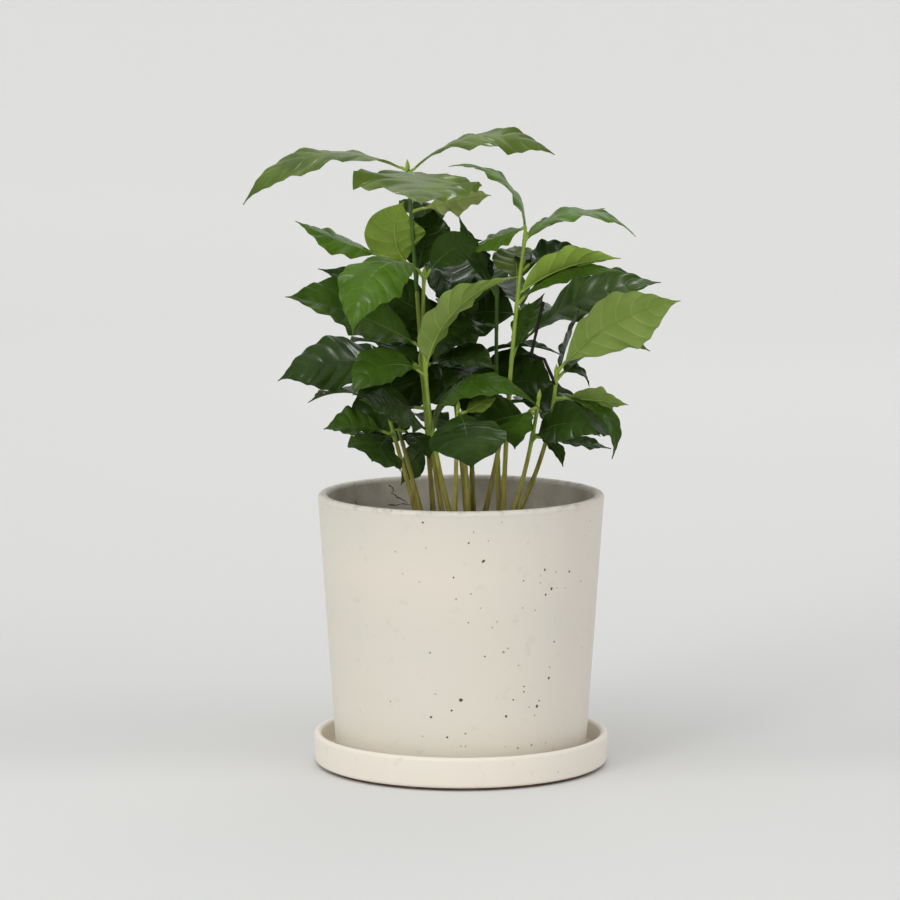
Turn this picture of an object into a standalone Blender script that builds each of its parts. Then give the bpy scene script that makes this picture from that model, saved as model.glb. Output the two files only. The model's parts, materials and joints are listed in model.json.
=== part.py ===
"""Potted coffee plant: a clump of young coffee trees in a conical glazed pot on a saucer.

Units are metres, +Z is up and the plant is seen from the front along +Y. The origin is
the middle of the saucer's flat underside. Lengths of leaves and stems are written in
millimetres, because they are read and changed as such, and MM turns them into metres.
"""

import math
from collections import namedtuple

import bmesh
import bpy
from mathutils import Vector
from mathutils.bvhtree import BVHTree

MM = 0.001

# Pot and saucer
RIM_RADIUS = 0.080
POT_FOOT_RADIUS = 0.070
POT_RIM_HEIGHT = 0.153
POT_WALL = 0.0056
POT_FLOOR = 0.006
LIP_ROUND = 0.0022
SAUCER_RADIUS = 0.0825
SAUCER_HEIGHT = 0.0185
SAUCER_WALL = 0.0042
SAUCER_FLOOR = 0.0055
FOOT_RING_RADIUS = 0.0790
FOOT_RING_HEIGHT = 0.0016
FOOT_EDGE = 0.0012
SAUCER_EDGE = 0.002
SAUCER_LEAN = 0.0006
SAUCER_COVE = 0.003
ROUND_STEPS = 48
LIP_STEPS = 3
WELD_DISTANCE = 0.00001

# Soil
SOIL_TOP = 0.131
SOIL_EDGE = 0.002
GAP = 0.0003

# Stems
STEM_RADIUS = 1.65 * MM
STEM_TOP_RADIUS = 1.15 * MM
ROOT_FLARE = 1.1 * MM
FLARE_HEIGHT = 7 * MM
STEM_STEPS = 6
FLARE_STEPS = (1 * MM, 4 * MM, 9 * MM)
BELOW_CUT = 4 * MM
UPPER_STEM_STEP = 22 * MM
STEM_SIDES_RESOLUTION = 1
BUD_SWELL = 1.1
BUD_POINT = 0.3
BUD_SWELL_PLACE = 0.45
BUD_LENGTH = 6 * MM
BARE_BELOW_LEAF = 5 * MM

# Leaves
BLADE_STEPS = 7
MIDRIB_STEPS = 60
PETIOLE_RADIUS = 0.95 * MM
PETIOLE_FLATNESS = 0.8
PETIOLE_END = 0.85
THICKNESS_SHARE = 0.0125
LEAST_THICKNESS = 0.8 * MM
SPARE_ROOM = 0.9 * MM
TIP_HALF_WIDTH = 0.5 * MM
MARGIN_WAVES = 3.2
PAIR_TURN = 84
PAIR_SHRINK = 0.07

# A leaf sits at a height above the ground. It has a blade length and width, a bearing
# (0 is right, 90 is back), the climb of its midrib at the base and at the tip, and a roll
# about the midrib. Cup lifts both edges, twist turns the tip against the base, wave ruffles
# the edge, ease delays the fall of the midrib, bend turns the bearing towards the tip and
# peak moves the widest place outwards. Lengths are in millimetres and angles in degrees.
Leaf = namedtuple(
    "Leaf",
    "name height length width bearing rise fall roll cup twist wave ease petiole bend peak",
    defaults=(0, 10, 0, 0.06, 1.0, 8, 0, 0.88),
)

# A pair rule grows opposite leaves up the stem, each pair across the one below.
Pairs = namedtuple("Pairs", "heights length width bearing rise fall roll", defaults=(0,))

# A seedling has its foot (x, y), its top (x, y, z) and its sideways bow (x, y), in mm.
Seedling = namedtuple("Seedling", "foot top bow leaves pairs", defaults=((), ()))

# The thin dead twig leaves the seedling named here near its top and has a knob at its bend.
DEAD_TWIG_OWNER = "right"
DEAD_TWIG = (
    (52.2, -12, 215), (46, -13, 229), (38.7, -14, 231.5), (40.6, -14, 240), (43, -14, 251),
    (45.5, -13, 261),
)
DEAD_TWIG_RADIUS = 0.75
DEAD_TWIG_KNOB = 1.3
DEAD_TWIG_KNOB_PLACE = 2

SEEDLINGS = {
    "tall_left": Seedling(
        foot=(-15, 13),
        top=(-29.5, 8, 332),
        bow=(0, 0),
        leaves=(
            Leaf(
                "arch_left", 332, 98, 34, -177, 27, -58, 8, cup=-6, twist=-47, wave=0.1, ease=1.2,
                petiole=5, peak=0.95,
            ),
            Leaf(
                "arch_right", 330, 87, 29, 14, 48, -34, -15, cup=-9, twist=60, wave=0.1,
                petiole=4, bend=-9, peak=1.2,
            ),
            Leaf("front_top", 330.5, 72, 70, -84, 8, -28, -4, cup=1, wave=0.07, ease=1.1, peak=1.5),
            Leaf("under_right", 309, 38, 34, 7, 19, 4, -28, cup=-3, wave=0.1, peak=1.1),
            Leaf("upright", 276, 36, 34, 180, 36, 126, 84, cup=6),
            Leaf("folded_left", 279, 48, 24, -170, 16, 26, -27, cup=-13, petiole=24),
            Leaf("dark_right", 270, 45, 31, 74, 58, 38, 0),
            Leaf("back_top", 314, 64, 26, 80, 10, -48, 8, cup=-10),
            Leaf("back_low", 296, 62, 30, 98, 20, -40, 0, cup=-8),
        ),
    ),
    "front_left": Seedling(
        foot=(-2.5, -18),
        top=(-20.3, -25, 275),
        bow=(-6.2, -2),
        leaves=(
            Leaf("glossy_front", 275, 72, 39, -134, 58, -94, -19, cup=-11, ease=0.8, bend=-3, peak=1.0),
            Leaf("broad_left", 236, 84, 42, 188, 33, 8, -44, cup=11, bend=38),
            Leaf("pale_left", 221, 43, 27, -158, 42, -66, -40, peak=1.0),
            Leaf("dark_right", 274, 36, 20, 30, 58, 0, 55, cup=8),
            Leaf("pale_right", 223, 71, 32, -3, 84, 10, -29, cup=15, ease=0.95, peak=0.62),
            Leaf(
                "draped", 181, 86, 28, -51, 128, -50, 23, cup=-13, twist=7, ease=0.7,
                bend=51, peak=0.72,
            ),
            Leaf("low_front", 187, 43, 42, -148, 41, 3, -24, cup=-1, bend=-14, peak=1.0),
        ),
    ),
    "tall_right": Seedling(
        foot=(23.5, -12),
        top=(35, -12, 295),
        bow=(-2.5, -1),
        leaves=(
            Leaf("arch_left", 295, 61, 22, -185, 99, -14, -5, cup=-4, wave=0.12, ease=1.04),
            Leaf("arch_right", 294, 68, 24, 4, 55, -50, 11, cup=-3, wave=0.12, petiole=3, bend=-4, peak=0.8),
            Leaf("back_left", 302, 33, 26, 170, -10, -29, -18, cup=-8, petiole=3, bend=9),
            Leaf("back_right", 298, 56, 16, 45, 17, 7, 0, petiole=3, bend=-13),
            Leaf("pale_back", 267, 35, 27, 95, 50, 14, -6, cup=14, bend=-5),
            Leaf("pale_right", 265, 59, 32, 8, 39, -2, -32, cup=15, petiole=3, peak=0.8),
            Leaf("under_pale", 259, 59, 22, -7, 52, -19, 15, cup=-8, bend=6),
            Leaf("behind_top", 277, 36, 24, 24, 42, -12, 17, cup=11),
            Leaf("rising", 229, 36, 22, 43, 60, 46, -12, cup=7, twist=10, bend=-10),
            Leaf("back_mid", 280, 58, 26, 74, 26, -34, 0, cup=-6),
        ),
    ),
    "right": Seedling(
        foot=(26, -3),
        top=(52.6, -12, 220),
        bow=(5.8, 0),
        leaves=(
            Leaf("pale_wide", 221, 75, 39, -15, 53, 9, -56, cup=-8, wave=0.08, bend=5, peak=1.15),
            Leaf("back", 217, 70, 32, 42, 40, -22, -16),
            Leaf("small", 217, 22, 14, 34, 56, -80, 32),
            Leaf("behind_up", 217, 39, 19, 56, 66, 49, -45, cup=6),
            Leaf("olive", 207, 34, 22, -13, 3, -10, -39, cup=5, peak=0.95),
            Leaf("hanging", 206, 50, 18, -12, 22, -111, 20),
            Leaf("low_back", 200, 58, 26, 58, 20, -35, 0),
            Leaf("dark_side", 196, 36, 26, 24, 8, -44, 40),
            Leaf("dark_front", 203, 30, 28, -104, -8, -54, 0),
        ),
    ),
    "front_small": Seedling(
        foot=(-4, -30),
        top=(-1.7, -38, 203),
        bow=(0, 0),
        leaves=(
            Leaf("glossy_low", 201, 44, 42, -82, 17, -70, 8, cup=2, ease=0.8, bend=6, peak=1.4),
            Leaf("young", 201, 22, 17, 2, 20, 41, 28, cup=6, petiole=5),
        ),
    ),
    "low_left": Seedling(
        foot=(-21.5, -10),
        top=(-42, -18, 205),
        bow=(0, 0),
        leaves=(
            Leaf("low_tip", 187, 32, 28, -174, 24, -13, -25, cup=15, bend=-4, peak=1.0),
            Leaf("low_broad", 188, 34, 34, -110, -5, -25, -32, cup=-14, wave=0.12, bend=8, peak=1.15),
        ),
    ),
    "far_left": Seedling(
        foot=(-19.5, 2),
        top=(-38, 6, 200),
        bow=(0, 0),
        leaves=(
            Leaf("dark_up", 199, 44, 40, 98, 60, 24, 0),
            Leaf("low_side", 188, 40, 34, 112, -4, -50, -6, wave=0.12),
            Leaf("dark_front", 188, 28, 26, -62, -16, -64, 0),
            Leaf("low_back", 192, 60, 28, 66, 14, -40, 0),
            Leaf("back", 199, 54, 28, 146, 30, -30, 0),
        ),
    ),
    "mid_left": Seedling(
        foot=(-8.5, 2),
        top=(-22.5, 2, 225),
        bow=(-1, 0),
        leaves=(
            Leaf(
                "curled_left", 223, 75, 39, -171, 9, -38, -37, cup=-5, twist=-10, wave=0.08, ease=2.2,
                bend=-19, peak=1.15,
            ),
            Leaf("dark_right", 222, 40, 32, -24, 28, -34, 20),
            Leaf("dark_up", 224, 30, 26, 52, 44, 8, 10),
            Leaf("dark_left", 200, 40, 34, -172, 4, -40, -50),
            Leaf("hanging", 180, 36, 18, 109, -31, -71, 80),
            Leaf("back", 221, 66, 30, 128, 30, -25, 0),
        ),
    ),
    "front_right": Seedling(
        foot=(24.5, -20),
        top=(42.5, -30, 208),
        bow=(2, 0),
        leaves=(
            Leaf("glossy", 185, 53, 25, -45, 40, -24, 66, cup=18, bend=5),
            Leaf("low", 188, 36, 27, -1, -7, -11, 8, cup=6),
            Leaf("tip_down", 189, 26, 12, 47, -9, -69, 0),
            Leaf("drooping", 204, 25, 27, -129, 2, -96, 14, cup=6, peak=1.1),
            Leaf("dark_left", 201, 32, 30, 176, -4, -30, -56),
        ),
    ),
    "back_right": Seedling(
        foot=(12.5, 30),
        top=(37, 36, 250),
        bow=(0, 0),
        leaves=(
            Leaf("broad_right", 233, 82, 41, -25, 47, 1, 30, cup=6, wave=0.08, bend=24, peak=1.12),
            Leaf("dark_left", 248, 50, 40, 176, 8, -36, -54),
            Leaf("low_right", 200, 44, 32, 10, 8, -44, 40),
            Leaf("low_left", 210, 50, 32, 172, 10, -40, -50),
            Leaf("back_low", 214, 60, 30, 102, 20, -36, 0),
            Leaf("back_side", 200, 52, 30, 52, 6, -46, 0),
            Leaf("back_top", 249, 56, 28, 116, 42, -12, 0),
        ),
        pairs=(Pairs((236,), 74, 32, 65, 34, -26),),
    ),
    "centre": Seedling(
        foot=(5, -19),
        top=(1, -20, 196),
        bow=(0, 0),
        leaves=(
            Leaf("right", 194, 26, 20, 60, 66, 30, 0),
            Leaf("left", 194, 24, 20, 200, 60, 10, -30),
        ),
    ),
    "mid_right": Seedling(
        foot=(22, 12),
        top=(20, 14, 262),
        bow=(-1, 0),
        leaves=(
            Leaf("narrow_front", 261, 44, 19, -158, 60, 67, 12, cup=-3),
            Leaf("narrow_back", 264, 20, 16, 166, 63, 80, 38, cup=7),
            Leaf("dark_low", 210, 25, 34, -4, 26, -18, 38, cup=13, bend=7, peak=1.0),
            Leaf("dark_left", 245, 42, 36, -132, 14, -58, -14),
            Leaf("dark_centre", 222, 42, 32, -130, 20, -52, 0),
            Leaf("dark_under", 206, 40, 30, -110, 14, -44, 0),
        ),
    ),
    "back_centre": Seedling(
        foot=(7, 26),
        top=(4, 30, 250),
        bow=(0, 0),
        leaves=(
            Leaf("screen_left", 240, 54, 36, 178, 10, -34, -56),
            Leaf("screen_low", 214, 50, 36, 172, 6, -36, -56),
            Leaf("dark_side", 220, 40, 32, 0, 6, -40, 54),
            Leaf("back_top", 249, 54, 28, 66, 50, -8, 0),
        ),
        pairs=(Pairs((242, 224, 204), 72, 32, 88, 34, -24),),
    ),
    "back_left": Seedling(
        foot=(4, 16),
        top=(-8, 22, 250),
        bow=(0, 0),
        leaves=(
            Leaf("behind_left", 243, 73, 32, 173, 34, 14, -46),
            Leaf("behind_up", 247, 32, 26, 178, 76, 56, -10),
            Leaf("back_top", 249, 60, 30, 84, 46, -16, 0),
            Leaf("back_side", 228, 58, 30, 142, 28, -36, 0),
        ),
        pairs=(Pairs((198,), 74, 32, 92, 24, -28),),
    ),
}

# Turns, in degrees of bearing and climb, that a leaf tries in order to stay clear
NUDGES = (
    (0, 0), (4, 0), (-4, 0), (0, 5), (0, -5), (8, 0), (-8, 0), (5, 7), (-5, 7), (5, -7),
    (-5, -7), (13, 0), (-13, 0), (0, 12), (0, -12), (12, 12), (-12, 12), (20, 6), (-20, 6),
)
SMALLER_SIZES = (1.0, 0.86, 0.72)


def clear_scene():
    for item in list(bpy.data.objects):
        bpy.data.objects.remove(item, do_unlink=True)


def new_collection(name):
    made = bpy.data.collections.new(name)
    bpy.context.scene.collection.children.link(made)
    return made


def material(name, colour, roughness):
    made = bpy.data.materials.new(name)
    made.use_nodes = True
    shader = made.node_tree.nodes["Principled BSDF"]
    shader.inputs["Base Color"].default_value = (*colour, 1.0)
    shader.inputs["Roughness"].default_value = roughness
    shader.inputs["Metallic"].default_value = 0.0
    return made


def add_object(name, mesh, collection, finish):
    made = bpy.data.objects.new(name, mesh)
    collection.objects.link(made)
    mesh.materials.append(finish)
    return made


def arc(centre, radius, start, end, steps):
    """Points (r, z) round part of a circle; angles in degrees, 0 outward and 90 up."""
    points = []
    for i in range(steps + 1):
        angle = math.radians(start + (end - start) * i / steps)
        points.append((centre[0] + radius * math.cos(angle), centre[1] + radius * math.sin(angle)))
    return points


def turned(name, profile, collection, finish):
    """A solid of revolution from (radius, height) points, top outer side first."""
    mesh = bpy.data.meshes.new(name)
    vertices = [(r, 0, z) for r, z in profile]
    edges = [(i, i + 1) for i in range(len(profile) - 1)]
    mesh.from_pydata(vertices, edges, [])
    made = add_object(name, mesh, collection, finish)
    screw = made.modifiers.new("turn", "SCREW")
    screw.steps = ROUND_STEPS
    screw.render_steps = ROUND_STEPS
    screw.use_merge_vertices = True
    screw.merge_threshold = WELD_DISTANCE
    screw.use_smooth_shade = True
    return made


def pot_radius(z):
    """Outer radius of the pot at a height."""
    base = pot_base()
    share = (z - base) / (POT_RIM_HEIGHT - base)
    return POT_FOOT_RADIUS + (RIM_RADIUS - POT_FOOT_RADIUS) * share


def pot_base():
    return SAUCER_FLOOR + GAP


def make_pot(collection):
    """A straight-sided cone with a rounded lip and a flat floor inside."""
    top = POT_RIM_HEIGHT
    base = pot_base()
    lip_height = top - LIP_ROUND
    inside_foot = pot_radius(base + POT_FLOOR) - POT_WALL
    profile = [(0, base + POT_FLOOR), (inside_foot, base + POT_FLOOR)]
    profile += arc((RIM_RADIUS - POT_WALL + LIP_ROUND, lip_height), LIP_ROUND, 180, 90, LIP_STEPS)
    profile += arc((RIM_RADIUS - LIP_ROUND, lip_height), LIP_ROUND, 90, 0, LIP_STEPS)
    profile += [
        (POT_FOOT_RADIUS, base + FOOT_EDGE),
        (POT_FOOT_RADIUS - FOOT_EDGE, base),
        (0, base),
    ]
    colour = material("glaze_cream", (0.69, 0.66, 0.58), 0.55)
    return turned("pot", profile, collection, colour)


def make_saucer(collection):
    """A straight-walled dish on a slightly smaller unglazed foot."""
    top = SAUCER_HEIGHT
    lip = SAUCER_WALL / 2
    inner = SAUCER_RADIUS - SAUCER_WALL
    profile = [
        (0, SAUCER_FLOOR),
        (inner - SAUCER_COVE, SAUCER_FLOOR),
        (inner, SAUCER_FLOOR + SAUCER_COVE),
    ]
    profile += arc((SAUCER_RADIUS - lip, top - lip), lip, 180, 0, 2 * LIP_STEPS)
    profile += [
        (SAUCER_RADIUS - SAUCER_LEAN, FOOT_RING_HEIGHT + SAUCER_EDGE),
        (SAUCER_RADIUS - SAUCER_EDGE, FOOT_RING_HEIGHT),
        (FOOT_RING_RADIUS, FOOT_RING_HEIGHT),
        (FOOT_RING_RADIUS, 0),
        (0, 0),
    ]
    colour = material("glaze_saucer", (0.72, 0.68, 0.60), 0.5)
    return turned("saucer", profile, collection, colour)


def make_soil(collection):
    """The potting soil, a plug that fills the pot up to below its rim."""
    low = pot_base() + POT_FLOOR + GAP
    shoulder = SOIL_TOP - SOIL_EDGE
    inset = POT_WALL + GAP * 2
    profile = [
        (0, SOIL_TOP),
        (pot_radius(SOIL_TOP) - inset - SOIL_EDGE, SOIL_TOP),
        (pot_radius(shoulder) - inset, shoulder),
        (pot_radius(low) - inset, low),
        (0, low),
    ]
    colour = material("soil_dark", (0.045, 0.032, 0.022), 0.95)
    return turned("soil", profile, collection, colour)


def stem_point(seedling, height):
    """Where the seedling's stem is at a height above the ground, in metres."""
    top = Vector(seedling.top) * MM
    foot = Vector((seedling.foot[0] * MM, seedling.foot[1] * MM, SOIL_TOP))
    share = (height - SOIL_TOP) / (top.z - SOIL_TOP)
    bow = Vector((seedling.bow[0], seedling.bow[1], 0)) * MM * 4 * share * (1 - share)
    return foot.lerp(top, share) + bow


def stem_radius(seedling, height):
    """Radius with the taper and the flare at the root."""
    share = (height - SOIL_TOP) / (seedling.top[2] * MM - SOIL_TOP)
    share = min(max(share, 0.0), 1.0)
    flare = ROOT_FLARE * math.exp(-(height - SOIL_TOP) / FLARE_HEIGHT)
    return STEM_RADIUS + (STEM_TOP_RADIUS - STEM_RADIUS) * share + flare


def mesh_of_curve(item):
    """The mesh of a curve with its caps welded; the curve object is removed."""
    graph = bpy.context.evaluated_depsgraph_get()
    mesh = bpy.data.meshes.new_from_object(item.evaluated_get(graph))
    mesh.materials.clear()
    work = bmesh.new()
    work.from_mesh(mesh)
    bmesh.ops.remove_doubles(work, verts=work.verts, dist=WELD_DISTANCE / 10)
    bmesh.ops.recalc_face_normals(work, faces=work.faces)
    work.to_mesh(mesh)
    work.free()
    bpy.data.objects.remove(item, do_unlink=True)
    return mesh


def tube(points, radii):
    """A tapering round limb through points, as a closed mesh."""
    curve = bpy.data.curves.new("limb", "CURVE")
    curve.dimensions = "3D"
    curve.bevel_depth = 1.0
    curve.bevel_resolution = STEM_SIDES_RESOLUTION
    curve.use_fill_caps = True
    spline = curve.splines.new("POLY")
    spline.points.add(len(points) - 1)
    for place, point, radius in zip(spline.points, points, radii):
        place.co = (*point, 1.0)
        place.radius = radius
    item = bpy.data.objects.new("limb", curve)
    bpy.context.scene.collection.objects.link(item)
    bpy.context.view_layer.update()
    return mesh_of_curve(item)


def cut_flat(mesh, height):
    """Cuts a limb level at a height, keeps what is above and closes the cut."""
    work = bmesh.new()
    work.from_mesh(mesh)
    everything = list(work.verts) + list(work.edges) + list(work.faces)
    cut = bmesh.ops.bisect_plane(
        work, geom=everything, plane_co=(0, 0, height), plane_no=(0, 0, 1), clear_inner=True
    )
    edges = [part for part in cut["geom_cut"] if isinstance(part, bmesh.types.BMEdge)]
    bmesh.ops.contextual_create(work, geom=edges)
    bmesh.ops.recalc_face_normals(work, faces=work.faces)
    work.to_mesh(mesh)
    work.free()
    return mesh


def first_leaf_height(seedling):
    heights = [leaf.height for leaf in grown_leaves(seedling)]
    return min(heights) * MM


def bare_stem_mesh(seedling):
    """The leafless lower stem, from its flat cut on the soil to just under its first leaf."""
    bottom = SOIL_TOP + GAP
    end = first_leaf_height(seedling) - BARE_BELOW_LEAF
    heights = [bottom - BELOW_CUT] + [bottom + step for step in FLARE_STEPS]
    start = heights[-1]
    heights += [start + (end - start) * (i + 1) / STEM_STEPS for i in range(STEM_STEPS)]
    points = [stem_point(seedling, h) for h in heights]
    radii = [stem_radius(seedling, max(h, bottom)) for h in heights]
    return cut_flat(tube(points, radii), bottom)


def upper_stem_mesh(seedling):
    """The leafy upper stem with its pointed bud, 0.3 mm clear of the bare stem."""
    start = first_leaf_height(seedling) - BARE_BELOW_LEAF
    direction = (stem_point(seedling, start + MM) - stem_point(seedling, start)).normalized()
    top = seedling.top[2] * MM
    count = max(2, round((top - start) / UPPER_STEM_STEP))
    heights = [start + (top - start) * i / count for i in range(count + 1)]
    points = [stem_point(seedling, h) for h in heights]
    points[0] = points[0] + direction * GAP
    radii = [stem_radius(seedling, h) for h in heights]
    tip = (points[-1] - points[-2]).normalized()
    points += [points[-1] + tip * BUD_LENGTH * BUD_SWELL_PLACE, points[-1] + tip * BUD_LENGTH]
    radii += [STEM_TOP_RADIUS * BUD_SWELL, STEM_TOP_RADIUS * BUD_POINT]
    return tube(points, radii)


def dead_twig_mesh():
    """The thin dead twig with its knob, kept from the plant as it stands."""
    points = [Vector(point) * MM for point in DEAD_TWIG]
    radii = [DEAD_TWIG_RADIUS * MM] * len(points)
    radii[DEAD_TWIG_KNOB_PLACE] = DEAD_TWIG_KNOB * MM
    return tube(points, radii)


def grown_leaves(seedling):
    """The leaves set by hand and then the opposite pairs grown by rule, up the stem."""
    leaves = list(seedling.leaves)
    for rule in seedling.pairs:
        for level, height in enumerate(rule.heights):
            for side in range(2):
                bearing = rule.bearing + PAIR_TURN * level + 180 * side
                size = 1 - PAIR_SHRINK * level
                length = rule.length * size
                width = rule.width * size
                name = f"pair{level}_{'ab'[side]}"
                climb = (rule.rise, rule.fall, rule.roll)
                leaves.append(Leaf(name, height, length, width, bearing, *climb))
    return leaves


def half_width_share(u, peak):
    """Half width of a blade at u along it, with a drawn-out tip; a higher peak is widest
    further out."""
    return math.sin(math.pi * u ** peak) ** (0.95 + 0.9 * u ** 3)


def moved(leaf, turn, climb, size):
    """The leaf swung sideways, tilted and grown to a share of its size."""
    return leaf._replace(
        bearing=leaf.bearing + turn,
        rise=leaf.rise + climb,
        fall=leaf.fall + climb,
        length=leaf.length * size,
        width=leaf.width * size,
    )


def leaf_frames(seedling, leaf, steps):
    """Places along a leaf, each as (point, side, up, u); u is under 0 on the petiole."""
    total = (leaf.petiole + leaf.length) * MM
    fine = MIDRIB_STEPS
    points = [stem_point(seedling, leaf.height * MM)]

    def climb(share):
        return math.radians(leaf.rise + (leaf.fall - leaf.rise) * share ** leaf.ease)

    def level(share, turn=0):
        bearing = math.radians(leaf.bearing + leaf.bend * share + turn)
        return Vector((math.cos(bearing), math.sin(bearing), 0))

    for i in range(fine):
        share = (i + 0.5) / fine
        angle = climb(share)
        step = level(share) * math.cos(angle) + Vector((0, 0, math.sin(angle)))
        points.append(points[-1] + step * total / fine)
    frames = []
    petiole_share = leaf.petiole / (leaf.petiole + leaf.length)
    shares = [0.0, petiole_share * PETIOLE_END]
    shares += [petiole_share + (1 - petiole_share) * i / steps for i in range(steps + 1)]
    for share in shares:
        place = share * fine
        low = min(int(place), fine - 1)
        point = points[low].lerp(points[low + 1], place - low)
        angle = climb(share)
        side = level(share, 90)
        normal = Vector((0, 0, math.cos(angle))) - level(share) * math.sin(angle)
        u = (share - petiole_share) / (1 - petiole_share)
        roll = math.radians(leaf.roll + leaf.twist * max(u, 0.0))
        across = side * math.cos(roll) + normal * math.sin(roll)
        up = normal * math.cos(roll) - side * math.sin(roll)
        frames.append((point, across, up, u))
    return frames


def leaf_section(leaf, frame, thickness):
    """Six points round a leaf: left, middle and right of its top, then of its underside."""
    point, across, up, u = frame
    if u < 0:
        spread = PETIOLE_RADIUS
        depth = PETIOLE_RADIUS * PETIOLE_FLATNESS
        lift = (0, 0, 0)
    else:
        share = half_width_share(u, leaf.peak) if 0 < u < 1 else 0.0
        cup = math.radians(leaf.cup)
        width = leaf.width * MM / 2 * share
        spread = width * math.cos(cup) + TIP_HALF_WIDTH
        depth = thickness / 2
        wave = leaf.wave * width * math.sin(2 * math.pi * MARGIN_WAVES * u)
        raised = width * math.sin(cup)
        lift = (raised + wave, 0, raised - wave)
    top = [point + across * spread * s + up * (l + depth) for s, l in zip((1, 0, -1), lift)]
    low = [point + across * spread * s + up * (l - depth) for s, l in zip((-1, 0, 1), reversed(lift))]
    return top + low


def leaf_mesh(seedling, leaf, extra=0.0):
    """A blade with its petiole as one closed loft of six-sided sections."""
    thickness = max(LEAST_THICKNESS, THICKNESS_SHARE * leaf.length * MM) + extra
    frames = leaf_frames(seedling, leaf, BLADE_STEPS)
    work = bmesh.new()
    rings = []
    for frame in frames:
        rings.append([work.verts.new(p) for p in leaf_section(leaf, frame, thickness)])
    count = len(rings[0])
    for near, far in zip(rings, rings[1:]):
        for i in range(count):
            j = (i + 1) % count
            work.faces.new((near[i], near[j], far[j], far[i]))
    work.faces.new(reversed(rings[0]))
    work.faces.new(rings[-1])
    bmesh.ops.recalc_face_normals(work, faces=work.faces)
    bmesh.ops.triangulate(work, faces=work.faces)
    mesh = bpy.data.meshes.new("leaf")
    work.to_mesh(mesh)
    work.free()
    return mesh


def tree_of(mesh):
    vertices = [v.co.copy() for v in mesh.vertices]
    faces = [tuple(p.vertices) for p in mesh.polygons]
    return BVHTree.FromPolygons(vertices, faces)


def first_free(seedling, leaf, others):
    """The leaf moved the least that touches nothing, with its tree, or None."""
    for size in SMALLER_SIZES:
        for turn, climb in NUDGES:
            tried = moved(leaf, turn, climb, size)
            roomy = tree_of(leaf_mesh(seedling, tried, SPARE_ROOM))
            if not any(roomy.overlap(tree) for tree in others):
                return tried, roomy
    return None


def settle(stems, twig):
    """The leaves that stay clear of the other seedlings, as {seedling: [leaf]}."""
    kept = {name: [] for name in SEEDLINGS}
    placed = []
    for name, (bare, upper) in stems.items():
        placed.append((name, False, tree_of(bare)))
        placed.append((name, True, tree_of(upper)))
    placed.append((DEAD_TWIG_OWNER, True, tree_of(twig)))
    for name, seedling in SEEDLINGS.items():
        for leaf in grown_leaves(seedling):
            others = [tree for owner, own, tree in placed if owner != name or not own]
            found = first_free(seedling, leaf, others)
            if found:
                kept[name].append(found[0])
                placed.append((name, True, found[1]))
    return kept


def join_shoot(name, upper, leaves, collection, finish):
    """One Boolean union of the upper stem and its leaves, applied."""
    body = add_object(name, upper, collection, finish)
    if not leaves:
        return body
    operands = bpy.data.collections.new("operands")
    bpy.context.scene.collection.children.link(operands)
    for mesh in leaves:
        operands.objects.link(bpy.data.objects.new("operand", mesh))
    union = body.modifiers.new("join", "BOOLEAN")
    union.operation = "UNION"
    union.operand_type = "COLLECTION"
    union.collection = operands
    union.solver = "MANIFOLD"
    bpy.context.view_layer.update()
    graph = bpy.context.evaluated_depsgraph_get()
    joined = bpy.data.meshes.new_from_object(body.evaluated_get(graph))
    body.modifiers.clear()
    body.data = joined
    joined.materials.clear()
    joined.materials.append(finish)
    for item in list(operands.objects):
        bpy.data.objects.remove(item, do_unlink=True)
    bpy.data.collections.remove(operands)
    return body


def drop_scraps(mesh):
    """Keeps the largest connected body of a mesh."""
    work = bmesh.new()
    work.from_mesh(mesh)
    left = set(work.verts)
    bodies = []
    while left:
        todo = [left.pop()]
        body = list(todo)
        while todo:
            for edge in todo.pop().link_edges:
                for vertex in edge.verts:
                    if vertex in left:
                        left.remove(vertex)
                        body.append(vertex)
                        todo.append(vertex)
        bodies.append(body)
    bodies.sort(key=len)
    for body in bodies[:-1]:
        bmesh.ops.delete(work, geom=body, context="VERTS")
    work.to_mesh(mesh)
    work.free()


def make_plant(collection):
    stems = {}
    for name, seedling in SEEDLINGS.items():
        stems[name] = (bare_stem_mesh(seedling), upper_stem_mesh(seedling))
    twig = dead_twig_mesh()
    kept = settle(stems, twig)
    for name, seedling in SEEDLINGS.items():
        bare, upper = stems[name]
        bark = material(f"bark_{name}", (0.30, 0.27, 0.10), 0.6)
        green = material(f"leaf_{name}", (0.06, 0.14, 0.03), 0.35)
        add_object(f"stem_{name}", bare, collection, bark)
        leaves = [leaf_mesh(seedling, leaf) for leaf in kept[name]]
        if name == DEAD_TWIG_OWNER:
            leaves.append(twig)
        shoot = join_shoot(f"shoot_{name}", upper, leaves, collection, green)
        drop_scraps(shoot.data)


def main():
    clear_scene()
    collection = new_collection("potted_coffee_plant")
    make_saucer(collection)
    make_pot(collection)
    make_soil(collection)
    make_plant(collection)


main()
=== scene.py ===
"""Looks of the potted coffee plant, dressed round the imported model.

Everything is in metres in the model's own frame: +Z up, the plant seen from the front
along +Y, the origin in the middle of the saucer's underside. The seedlings grow by the
same table and rules as in the model, and are carried on to fine leaves with their veins,
to ribs, petioles, buds and bark.
"""

import json
import math
import random
from collections import namedtuple

import bmesh
import bpy
import numpy as np
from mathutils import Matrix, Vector
from mathutils.bvhtree import BVHTree

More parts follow.
